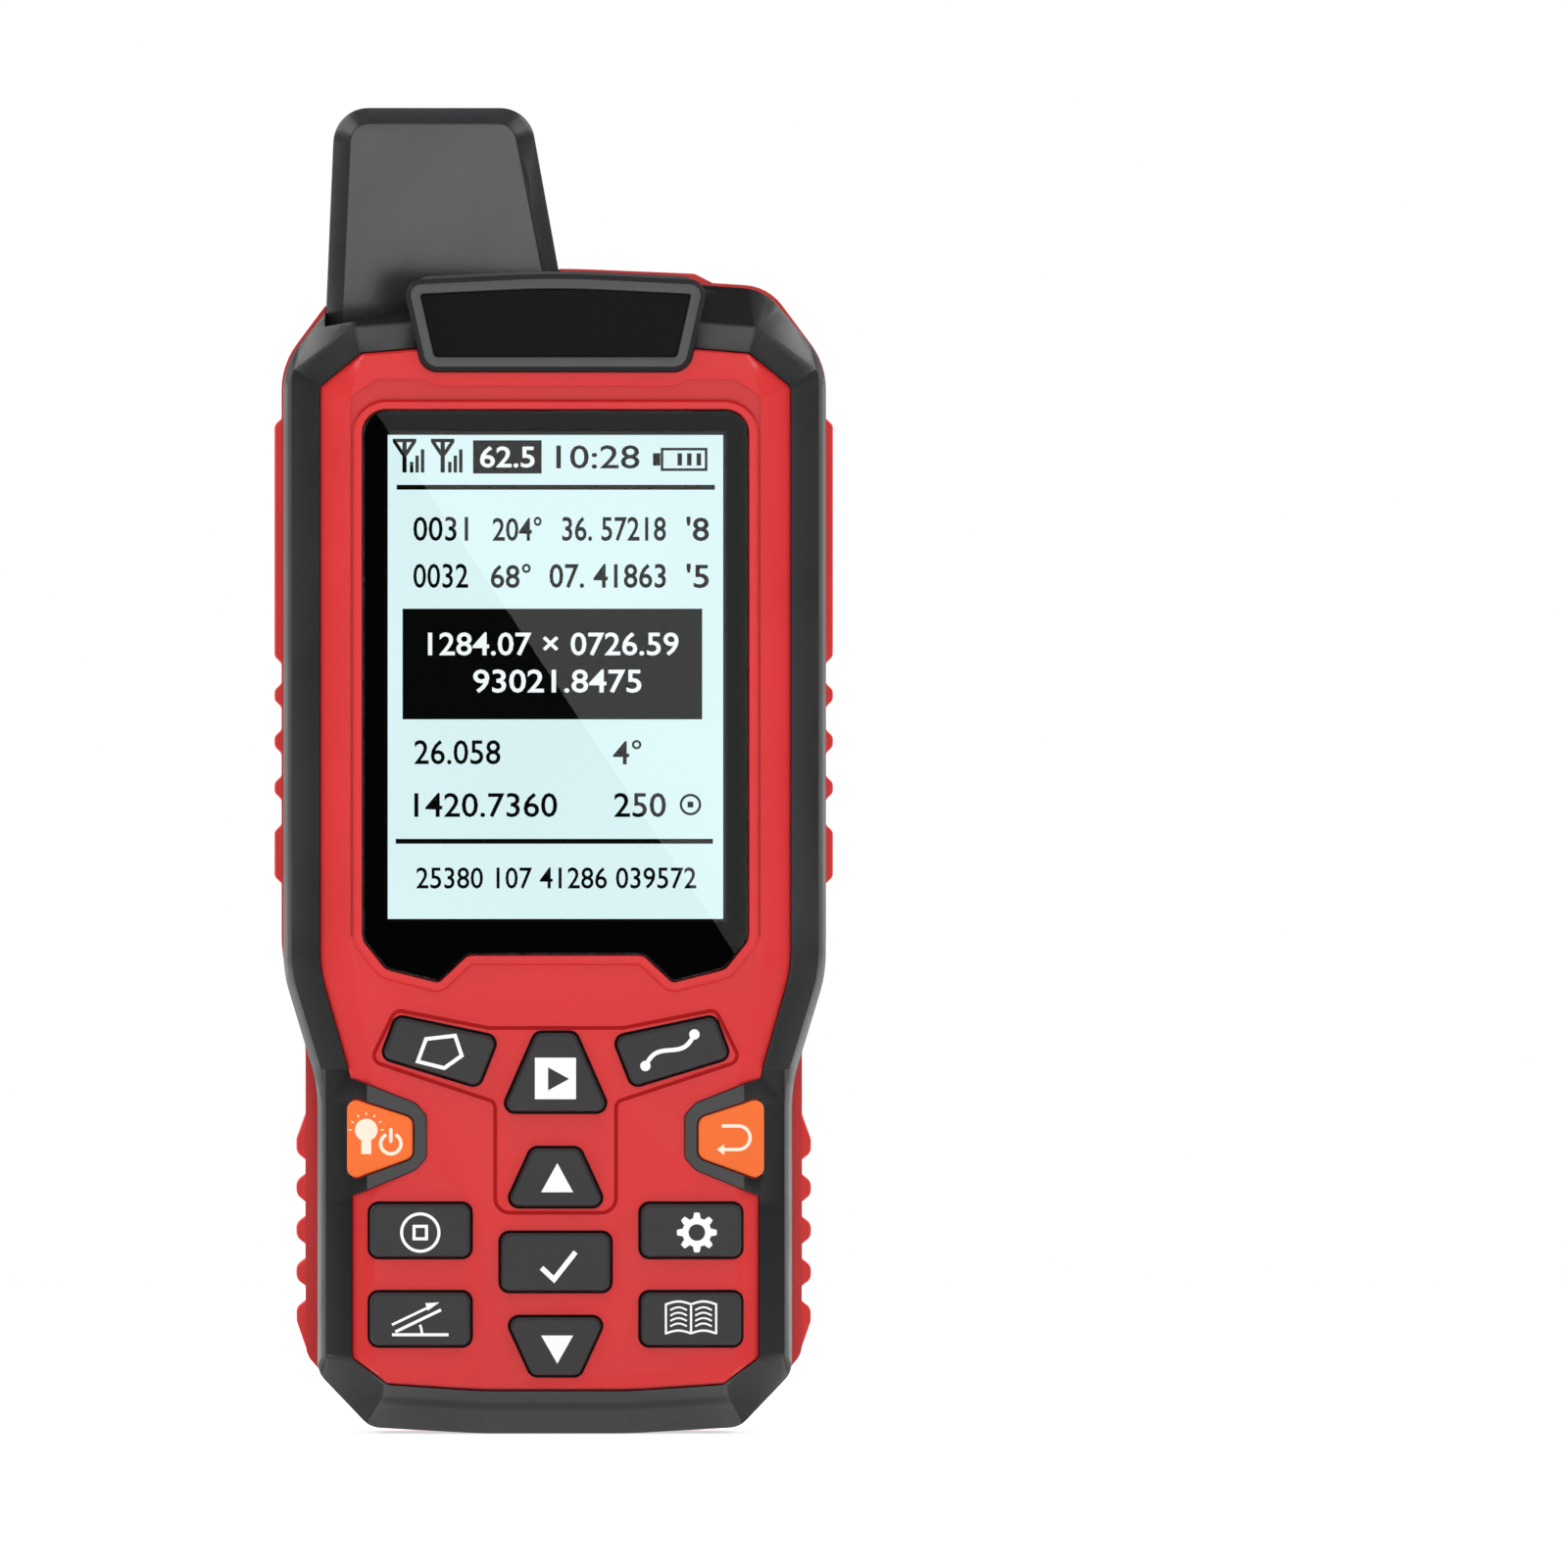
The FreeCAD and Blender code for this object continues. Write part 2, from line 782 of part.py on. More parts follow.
def antenna_outline(inset=0, foot=0):
    """The antenna paddle seen from the front, drawn in by inset and with its foot raised."""
    inset = size(inset)
    return [
        corner(D.antenna_right - inset, D.antenna_seat + foot),
        corner(-D.antenna_top_right - inset, D.antenna_top - inset, D.antenna_round - inset),
        corner(-D.antenna_top_left + inset, D.antenna_top - inset, D.antenna_round - inset),
        corner(-D.antenna_left + inset, D.antenna_seat + foot)]


def island_outline():
    """The right grey island that surrounds an orange key, running out into the frame."""
    return [
        corner(D.waist_half - D.draft_side, D.island_foot),
        corner(D.waist_half - D.draft_side, D.island_top),
        corner(D.island_outer_half, D.island_top),
        corner(D.island_shoulder_half, D.island_neck_top, D.island_round),
        corner(D.island_half, D.island_neck_top - D.island_round, D.island_round / 2),
        corner(D.island_half, D.island_neck_foot + D.island_round, D.island_round / 2),
        corner(D.island_shoulder_half, D.island_neck_foot, D.island_round),
        corner(D.island_outer_half, D.island_foot)]


def thumb_outline():
    """The right orange key."""
    return [
        corner(D.thumb_outer_half, D.thumb_outer_foot, D.key_round),
        corner(D.thumb_outer_half, D.thumb_outer_top, D.key_round),
        corner(D.thumb_inner_half, D.thumb_inner_top, D.key_round),
        corner(D.thumb_inner_half, D.thumb_inner_foot, D.key_round)]


def wing_outline():
    """The slanted key to the upper right of the start key."""
    return [
        corner(D.wing_inner_low_half, D.wing_inner_foot, D.key_round),
        corner(D.wing_outer_low_half, D.wing_outer_foot, D.key_round),
        corner(D.wing_outer_half, D.wing_outer_top, D.key_round),
        corner(D.wing_inner_half, D.wing_inner_top, D.key_round)]


def trapezoid(foot_half, top_half, foot, height):
    """A symmetric key that is wider at one end."""
    return mirrored([
        corner(foot_half, foot, D.key_round),
        corner(top_half, size(foot) + height, D.key_round)])


def side_key(across, row):
    """A rectangular key of the outer columns, centred at across and row."""
    half = D.side_key_height / 2
    return box(across - D.side_key_half, across + D.side_key_half, row - half, row + half, D.key_round)


KEYS = {
    "area_key": flipped(wing_outline()),
    "path_key": wing_outline(),
    "start_key": trapezoid(D.start_wide, D.start_narrow, D.start_foot, D.start_height),
    "up_key": trapezoid(D.arrow_wide, D.arrow_narrow, D.up_key_foot, D.arrow_height),
    "ok_key": trapezoid(D.middle_key_half, D.middle_key_half, D.middle_key_foot, D.middle_key_height),
    "down_key": trapezoid(D.arrow_narrow, D.arrow_wide, D.down_key_foot, D.arrow_height),
    "price_key": side_key(-D.side_key_x, D.upper_row),
    "settings_key": side_key(D.side_key_x, D.upper_row),
    "slope_key": side_key(-D.side_key_x, D.lower_row),
    "records_key": side_key(D.side_key_x, D.lower_row),
}
THUMB_KEYS = {
    "power_key": flipped(thumb_outline()),
    "back_key": thumb_outline(),
}


def middle_of(corners):
    """The middle of an outline's bounding box and its half width and half height."""
    low_x = min(corners, key=lambda c: c.x.value).x
    high_x = max(corners, key=lambda c: c.x.value).x
    low_y = min(corners, key=lambda c: c.y.value).y
    high_y = max(corners, key=lambda c: c.y.value).y
    return SimpleNamespace(x=(low_x + high_x) / 2, y=(low_y + high_y) / 2,
                           half_x=(high_x - low_x) / 2, half_y=(high_y - low_y) / 2)


# Places worked out from the dimensions above

BAND_INSET = (D.band_side, D.band_top, D.band_foot)
SHELL_INSET = tuple(inset + D.fit_gap for inset in BAND_INSET)
SHELL_WAIST = D.band_waist + D.fit_gap
CAVITY_INSET = tuple(inset + D.case_wall for inset in SHELL_INSET)
CAVITY_WAIST = SHELL_WAIST + D.case_wall
BOARD_INSET = tuple(inset + D.board_gap for inset in CAVITY_INSET)
BOARD_WAIST = CAVITY_WAIST + D.board_gap
GLASS_FRONT = D.facet_front - D.glass_sink
GLASS_BACK = GLASS_FRONT - D.glass_thickness
LEDGE_FRONT = GLASS_BACK - D.tape_thickness
PANEL_FRONT = D.plate_inside - D.stack_gap * 2
PANEL_BACK = PANEL_FRONT - D.panel_thickness
BACKLIGHT_FRONT = PANEL_BACK - D.stack_gap
BACKLIGHT_BACK = BACKLIGHT_FRONT - D.backlight_thickness
BOARD_BACK = D.board_front - D.board_thickness
TAB_FRONT = D.plate_inside - D.fit_gap
TAB_BACK = TAB_FRONT - D.tab_thickness
MEMBRANE_FRONT = TAB_BACK - D.key_travel - D.stack_gap * 2
MEMBRANE_BACK = MEMBRANE_FRONT - D.membrane_thickness
KEY_FRONT = D.facet_front + D.key_proud
BEAD_FRONT = D.facet_front + D.bead_height
DOOR_INSIDE = -D.back_depth + D.door_thickness
TONGUE_FRONT = DOOR_INSIDE + D.tongue_thickness
CAVITY_BACK = TONGUE_FRONT + D.rear_floor
PAD_BACK = TONGUE_FRONT + D.pad_gap
BATTERY_BACK = PAD_BACK + D.pad_thickness
BATTERY_FRONT = BATTERY_BACK + D.battery_thickness
BAY_FRONT = BATTERY_FRONT + D.stack_gap
REAR_TAPER = ((-D.rear_straight, rear_outline()), (-D.back_depth, grown(rear_outline(), -D.rear_taper)))
UPPER_SCREW = (D.shoulder_half - D.screw_upper_inset,
               D.case_top - CAVITY_INSET[1] - D.boss_radius + D.boss_bite)
LOWER_SCREW = (D.heel_half - D.screw_lower_inset,
               D.heel_rise + CAVITY_INSET[2] + D.boss_radius - D.boss_bite)
BOARD_SCREW_X = D.chest_half - CAVITY_INSET[0] - D.board_boss_radius - D.board_gap


def both_sides(*places):
    """Each place and its mirror image across the middle."""
    return [(x * side, z) for x, z in places for side in (1, -1)]


SCREWS = both_sides(UPPER_SCREW, LOWER_SCREW)
BOARD_SCREWS = both_sides((BOARD_SCREW_X, D.board_screw_foot), (BOARD_SCREW_X, D.board_screw_top))


def rounds(places, radius):
    """The same circle at every place."""
    return [(x, z, radius) for x, z in places]


def at_front(place):
    """A test for edges that lie wholly at one front value."""
    level = -size(place).value

    def test(edge):
        return all(abs(vertex.Point.y - level) < 1e-4 for vertex in edge.Vertexes)
    return test


def stem_outline(thumb):
    """The square stem under an orange key."""
    middle = middle_of(thumb)
    centre = D.stem_x if middle.x.value > 0 else -D.stem_x
    return box(centre - D.stem_half, centre + D.stem_half,
               middle.y - D.stem_half, middle.y + D.stem_half, D.stem_round)


def view_window(margin):
    """The part of the display that can be seen, grown by margin."""
    return box(-D.view_half - margin, D.view_half + margin, D.view_foot - margin, D.view_top + margin)


# Housing

HOLES_PER_SKETCH = 3
RIBS = 3
LOW_RIBS = 5


def make_front_housing():
    """Red front shell: a faceted face with windows for the glass, the keys and the hood."""
    shell = Piece("front_housing")
    rim = case_outline(*SHELL_INSET, rounding=D.band_round, waist=SHELL_WAIST)
    facet = case_outline(SHELL_INSET[0] + D.flank_side, SHELL_INSET[1] + D.flank_end,
                         SHELL_INSET[2] + D.flank_end, rounding=D.band_round,
                         waist=SHELL_WAIST + D.flank_waist)
    shell.pad(0, D.flank_front, rim)
    shell.loft((D.flank_front, rim), (D.facet_front, facet))
    shell.cut(0, D.plate_inside, case_outline(*CAVITY_INSET, rounding=0, waist=CAVITY_WAIST))
    shell.cut(D.facet_front - D.zone_depth, D.hood_front, display_zone())
    shell.cut(D.facet_front - D.groove_depth, D.hood_front, groove_outline())
    shell.pad(D.facet_front - D.groove_depth, D.facet_front, grown(groove_outline(), -D.groove_width))
    shell.pad(D.plate_inside, BEAD_FRONT, grown(glass_outline(), D.glass_gap + D.bead_width))
    shell.soften(D.bead_round, at_front(BEAD_FRONT))
    shell.cut(LEDGE_FRONT, BEAD_FRONT, grown(glass_outline(), D.glass_gap))
    shell.cut(0, LEDGE_FRONT, view_window(D.view_margin))
    shell.cut(D.hood_back - D.fit_gap, D.hood_front, grown(hood_outline(), D.fit_gap))
    islands = [grown(outline, D.fit_gap) for outline in (island_outline(), flipped(island_outline()))]
    shell.cut(D.island_floor, D.hood_front, *islands)
    holes = [grown(key, D.key_gap) for key in KEYS.values()]
    holes += [grown(stem_outline(thumb), D.key_gap) for thumb in THUMB_KEYS.values()]
    for first in range(0, len(holes), HOLES_PER_SKETCH):
        shell.cut(TAB_BACK - D.key_travel, D.hood_front, *holes[first:first + HOLES_PER_SKETCH])
    shell.pad(0, D.screw_reach + D.boss_radius, circles=rounds(SCREWS, D.boss_radius))
    shell.cut(0, D.screw_reach, circles=rounds(SCREWS, D.screw_radius + D.thread_gap))
    shell.pad(D.board_front, D.plate_inside, circles=rounds(BOARD_SCREWS, D.board_boss_radius))
    shell.cut(D.board_front, D.board_front + D.board_screw_reach,
              circles=rounds(BOARD_SCREWS, D.board_screw_radius + D.thread_gap))
    window = box(-D.socket_half - D.key_gap, D.socket_half + D.key_gap,
                 -BOARD_BACK - D.key_gap, -BOARD_BACK + D.socket_height + D.key_gap)
    shell.cut(0, CAVITY_INSET[2] + D.heel_rise, window, plane="XY")


def make_frame():
    """Grey bumper frame with a sloping band, an island round each orange key and a low place
    in front of the antenna."""
    frame = Piece("frame_bumper")
    outside = case_outline(0, 0, 0)
    crease = case_outline(D.draft_side, D.draft_top, D.draft_foot, rounding=D.crease_round)
    inner = case_outline(*BAND_INSET, rounding=D.band_round, waist=D.band_waist)
    shoulder = D.crease_front - D.draft_depth
    frame.pad(0, shoulder, outside)
    frame.loft((shoulder, outside), (D.crease_front, crease))
    frame.loft((D.crease_front, crease), (D.band_front, inner))
    frame.cut(0, D.hood_front, inner)
    frame.pad(D.island_floor + D.fit_gap, D.island_front, island_outline(), flipped(island_outline()))
    edge = D.waist_half - D.draft_side
    slope = [corner(D.island_edge_half, -D.hood_front), corner(edge + D.overcut, -D.hood_front),
             corner(edge + D.overcut, -D.crease_front), corner(edge, -D.crease_front),
             corner(D.island_edge_half, -D.island_front)]
    frame.cut(D.island_foot - D.overcut, D.island_top + D.overcut, slope, flipped(slope), plane="XY")
    frame.cut(D.island_floor - D.fit_gap, D.hood_front,
              *[grown(thumb, D.key_gap) for thumb in THUMB_KEYS.values()])
    frame.cut(D.hood_back - D.fit_gap, D.hood_front, grown(hood_outline(), D.fit_gap))
    frame.cut(D.antenna_front + D.fit_gap, D.hood_front, grown(roof_outline(), D.fit_gap))
    notch = [corner(-D.antenna_left - D.fit_gap, D.notch_outer),
             corner(D.hood_tip_round - D.hood_high_half, D.notch_inner),
             corner(D.hood_tip_round - D.hood_high_half, D.antenna_top),
             corner(-D.antenna_left - D.fit_gap, D.antenna_top)]
    frame.cut(D.antenna_front, D.hood_front, notch)
    frame.cut(0, D.antenna_front + D.fit_gap, grown(antenna_outline(), D.fit_gap))
    frame.cut(0, D.antenna_front + D.fit_gap * 2, grown(hump_outline(), D.fit_gap))
    port = box(-D.port_half, D.port_half, -D.port_front, -D.port_back, D.port_round)
    frame.cut(-D.overcut, D.band_foot + D.heel_rise, port, plane="XY")


def make_rear_housing():
    """Red rear tub with the battery bay, the door channel and the antenna seat."""
    rear = Piece("rear_housing")
    rear.pad(-D.rear_straight, 0, rear_outline())
    rear.loft(*REAR_TAPER)
    rear.pad(-D.rear_straight, D.antenna_front + D.fit_gap, hump_outline())
    top = D.case_top - D.cavity_top
    rear.cut(-D.cavity_shelf, 0, case_outline(D.rear_rim, top, D.rear_rim, rounding=0))
    deep = D.rear_rim + D.rear_step
    rear.cut(CAVITY_BACK, -D.cavity_shelf, case_outline(deep, top, deep, rounding=0))
    walls = box(-D.bay_half - D.bay_wall, D.bay_half + D.bay_wall,
                D.bay_foot - D.bay_wall, D.bay_top + D.bay_wall)
    rear.pad(CAVITY_BACK - D.boss_bite, BAY_FRONT + D.bay_wall, walls)
    rear.pad(CAVITY_BACK - D.boss_bite, 0, circles=rounds(SCREWS, D.screw_head + D.bay_wall))
    rear.cut(-D.back_depth, BAY_FRONT, box(-D.bay_half, D.bay_half, D.bay_foot, D.bay_top, D.bay_round))
    rear.cut(-D.back_depth, DOOR_INSIDE, grown(door_outline(0), D.door_gap))
    rear.cut(DOOR_INSIDE - D.door_gap, TONGUE_FRONT + D.door_gap,
             grown(door_outline(D.tongue_reach), D.door_gap))
    rear.cut(-D.back_depth, -D.screw_seat, circles=rounds(SCREWS, D.screw_head + D.door_gap))
    rear.cut(-D.back_depth, 0, circles=rounds(SCREWS, D.screw_radius + D.door_gap))
    rear.cut(-D.antenna_back - D.fit_gap, D.hood_front, grown(antenna_outline(), D.fit_gap))
    rear.cut(D.cavity_top - D.overcut, D.antenna_seat, plane="XY",
             circles=[(-D.cable_x, D.cable_back, D.cable_radius + D.cable_gap)])
    upper = grip_pocket(D.rear_chest_half, D.grip_foot, D.grip_top)
    lower = grip_pocket(D.rear_waist_half, D.low_grip_foot, D.low_grip_top)
    rear.cut(-D.rear_straight, -D.grip_front + D.fit_gap, upper, flipped(upper), lower, flipped(lower))
    rear.cut(-D.gasket_depth, 0, gasket_outline(0), gasket_outline(D.gasket_width))


def door_outline(reach):
    """The battery door seen from behind, running out past the foot of the case."""
    half = D.door_half + reach
    return box(-half, half, -D.overcut, D.door_top)


def around_door(reach):
    """Everything of the case's back that lies beside and above the battery door."""
    half = D.door_half + reach
    far = D.rear_chest_half + D.overcut
    return mirrored([corner(half, D.door_top), corner(half, -D.overcut),
                     corner(far, -D.overcut), corner(far, D.hump_top)])


def grip_pocket(half, foot, top):
    """The shallow side pocket that a rubber grip is seated in."""
    return box(half - D.grip_sink - D.fit_gap, half + D.overcut, foot - D.fit_gap, top + D.fit_gap)


def gasket_outline(inset):
    """The line that the seal between the two halves follows, below the antenna seat."""
    side = D.gasket_inset + inset
    return case_outline(side, D.case_top - D.cavity_top - D.rear_rim + side + D.gasket_drop, side, rounding=0)


def make_case_gasket():
    """Rubber cord seal in a groove of the rear rim, pressed by the frame."""
    gasket = Piece("case_gasket")
    gasket.pad(-D.gasket_depth + D.gasket_gap, 0, gasket_outline(D.gasket_gap),
               gasket_outline(D.gasket_width - D.gasket_gap))


def rib_corners(valley, proud, ramp, ribs):
    """The wavy outer side of a grip, from its foot to its top."""
    corners = []
    for foot, top, rounding in ribs:
        corners += [corner(valley, foot - ramp), corner(proud, foot, rounding),
                    corner(proud, top, rounding), corner(valley, top + ramp)]
    return corners


def make_grips():
    """Four rubber grips: a long ribbed one beside the display and a short one beside the keys."""
    inner = D.rear_chest_half - D.grip_sink
    proud = D.rear_chest_half + D.grip_proud
    ribs = [(D.grip_foot + D.rib_ramp, D.grip_pad_end, D.rib_round)]
    for number in range(RIBS):
        foot = D.first_rib - D.rib_length / 2 + D.rib_pitch * number
        ribs.append((foot, foot + D.rib_length, D.rib_round))
    ribs.append((D.grip_pad_foot, D.grip_top - D.rib_ramp, D.rib_round))
    upper = [corner(inner, D.grip_foot)] + rib_corners(D.rear_chest_half, proud, D.rib_ramp, ribs)
    upper[1].y = D.grip_foot
    upper[-1].y = D.grip_top
    upper.append(corner(inner, D.grip_top))
    low_inner = D.rear_waist_half - D.grip_sink
    low_ribs = []
    for number in range(LOW_RIBS):
        peak = D.low_rib_first + D.low_rib_pitch * number
        low_ribs.append((peak - D.low_rib_flat, peak + D.low_rib_flat, D.low_rib_round))
    valley = D.rear_waist_half - D.low_rib_sink
    lower = [corner(low_inner, D.low_grip_foot), corner(D.rear_waist_half, D.low_grip_foot)]
    lower += rib_corners(valley, D.rear_waist_half + D.low_rib_proud, D.low_rib_ramp, low_ribs)[1:-1]
    lower += [corner(D.rear_waist_half, D.low_grip_top), corner(low_inner, D.low_grip_top)]
    for name, outline in (("side_grip", upper), ("lower_grip", lower)):
        Piece(name + "_right").pad(-D.rear_straight + D.fit_gap, -D.grip_front, outline)
        Piece(name + "_left").pad(-D.rear_straight + D.fit_gap, -D.grip_front, flipped(outline))


def make_hood():
    """Grey hood bezel over the display and the gloss plate set into it."""
    hood = Piece("hood_bezel")
    hood.pad(D.hood_back, D.hood_front, hood_outline())
    hood.soften(D.hood_edge, at_front(D.hood_front), kind="Chamfer")
    hood.pad(D.antenna_front + D.fit_gap * 2, D.hood_back, roof_outline())
    hood.cut(D.hood_front - D.hood_recess, D.hood_front, grown(hood_outline(), -D.hood_border))
    plate = Piece("hood_plate")
    plate.pad(D.hood_front - D.hood_recess, D.hood_front - D.hood_recess + D.hood_plate_thickness,
              grown(hood_outline(), -D.hood_border - D.fit_gap))


# Display


def make_display():
    """Glass, its tape, the display panel, its backlight and the tray that holds them."""
    Piece("display_window").pad(GLASS_BACK, GLASS_FRONT, glass_outline())
    tape = Piece("window_tape")
    tape.pad(LEDGE_FRONT, GLASS_BACK, grown(glass_outline(), -D.tape_thickness))
    tape.cut(LEDGE_FRONT, GLASS_BACK, view_window(D.view_margin))
    Piece("lcd_panel").pad(PANEL_BACK, PANEL_FRONT, view_window(D.panel_margin))
    Piece("lcd_backlight").pad(BACKLIGHT_BACK, BACKLIGHT_FRONT, view_window(D.panel_margin))
    tray = Piece("lcd_tray")
    tray.pad(D.board_front + D.stack_gap, PANEL_FRONT,
             view_window(D.panel_margin + D.stack_gap + D.tray_wall))
    tray.cut(BACKLIGHT_BACK - D.stack_gap, PANEL_FRONT, view_window(D.panel_margin + D.stack_gap))


# Boards and keypad


def keypad_outline():
    """The keypad board and membrane, inside the waist of the front housing."""
    foot = BOARD_INSET[2]
    return mirrored([
        corner(D.flat_half, foot),
        *heel_corners(BOARD_WAIST, foot),
        corner(D.waist_half - BOARD_WAIST, D.keyboard_top)])


def key_centres():
    """Where each key presses, one place per key."""
    centres = [(middle_of(outline).x, middle_of(outline).y) for outline in KEYS.values()]
    for outline in THUMB_KEYS.values():
        middle = middle_of(stem_outline(outline))
        centres.append((middle.x, middle.y))
    return centres


def make_boards():
    """Main board, keypad board, and the parts that join them."""
    board = Piece("main_board")
    board.pad(BOARD_BACK, D.board_front, case_outline(*BOARD_INSET, rounding=0, waist=BOARD_WAIST))
    board.cut(BOARD_BACK, D.board_front, circles=rounds(SCREWS, D.boss_radius + D.board_gap)
              + rounds(BOARD_SCREWS, D.board_screw_radius + D.door_gap))
    keyboard_back = D.keyboard_front - D.keyboard_thickness
    Piece("keypad_board").pad(keyboard_back, D.keyboard_front, keypad_outline())
    link_top = D.keyboard_top - D.link_inset
    link_foot = link_top - D.link_height
    spacers = both_sides((D.waist_half / 2, D.upper_row), (D.waist_half / 2, (link_foot + link_top) / 2))
    Piece("board_spacers").pad(D.board_front, keyboard_back, circles=rounds(spacers, D.board_boss_radius))
    Piece("board_link").pad(D.board_front, keyboard_back,
                            box(-D.middle_key_half, D.middle_key_half, link_foot, link_top))
    Piece("dome_switches").pad(D.keyboard_front, D.keyboard_front + D.dome_height,
                               circles=rounds(key_centres(), D.dome_radius))
    membrane = Piece("keypad_membrane")
    membrane.pad(MEMBRANE_BACK, MEMBRANE_FRONT, keypad_outline())
    membrane.pad(MEMBRANE_FRONT, MEMBRANE_FRONT + D.stack_gap,
                 circles=rounds(key_centres(), D.button_radius))


def make_key(name, outline):
    """A keycap that passes through the front housing, with a tab behind it that keeps it in."""
    key = Piece(name)
    key.pad(TAB_FRONT, KEY_FRONT, outline)
    key.soften(D.key_edge, at_front(KEY_FRONT))
    middle = middle_of(outline)
    in_middle_column = abs(middle.x.value) < D.middle_key_half.value
    if in_middle_column:
        wide, tall = middle.half_x + D.tab_reach, middle.half_y / 2
    else:
        wide, tall = middle.half_x / 2, middle.half_y + D.tab_reach
    key.pad(TAB_BACK, TAB_FRONT, box(middle.x - wide, middle.x + wide, middle.y - tall, middle.y + tall))


def make_thumb_key(name, outline):
    """An orange key whose face falls away outwards, on a stem that passes through the floor."""
    key = Piece(name)
    back = D.thumb_front - D.thumb_thickness
    key.pad(back, D.thumb_front, outline)
    side = 1 if middle_of(outline).x.value > 0 else -1
    far = D.thumb_outer_half + D.overcut
    wedge = [corner(far, -D.thumb_front + D.thumb_fall), corner(far, -D.thumb_front - D.overcut),
             corner(D.thumb_inner_half, -D.thumb_front - D.overcut),
             corner(D.thumb_inner_half, -D.thumb_front)]
    key.cut(D.thumb_outer_foot - D.overcut, D.thumb_outer_top + D.overcut,
            wedge if side > 0 else flipped(wedge), plane="XY")
    key.soften(D.key_edge, near_face(side, D.thumb_inner_half, D.thumb_front,
                                     far, D.thumb_front - D.thumb_fall))
    stem = stem_outline(outline)
    key.pad(TAB_FRONT, back, stem)
    key.pad(TAB_BACK, TAB_FRONT, grown(stem, D.stem_tab))


def near_face(side, near_x, near_front, far_x, far_front):
    """A test for edges that lie on the sloping face through two places."""
    rate = (size(far_front) - near_front).value / (size(far_x) - near_x).value

    def test(edge):
        return all(abs(-v.Point.y - near_front.value - (v.Point.x * side - near_x.value) * rate) < 1e-4
                   for v in edge.Vertexes)
    return test


def make_keypad():
    """All twelve keys."""
    for name, outline in KEYS.items():
        make_key(name, outline)
    for name, outline in THUMB_KEYS.items():
        make_thumb_key(name, outline)


def make_board_parts():
    """What is soldered to the back of the main board."""
    def block(name, thickness, *outlines):
        Piece(name).pad(BOARD_BACK - thickness, BOARD_BACK, *outlines)
    block("gps_module", D.module_thickness, square(-D.module_x, D.module_z, D.module_half))
    block("processor_shield", D.shield_thickness,
          square(D.shield_x, D.shield_z, D.shield_half, D.shield_round))
    chips = ((-D.memory_x, D.memory_z), (0, D.power_chip_z), (D.driver_x, D.driver_z))
    block("board_chips", D.chip_thickness, *[square(x, z, D.chip_half) for x, z in chips])
    buzzer = (D.buzzer_x, D.buzzer_z, D.buzzer_radius)
    Piece("buzzer").pad(BOARD_BACK - D.buzzer_height, BOARD_BACK, circles=[buzzer])
    cell = (-D.cell_x, D.cell_z, D.cell_radius)
    Piece("coin_cell").pad(BOARD_BACK - D.cell_height, BOARD_BACK, circles=[cell])


# Antenna


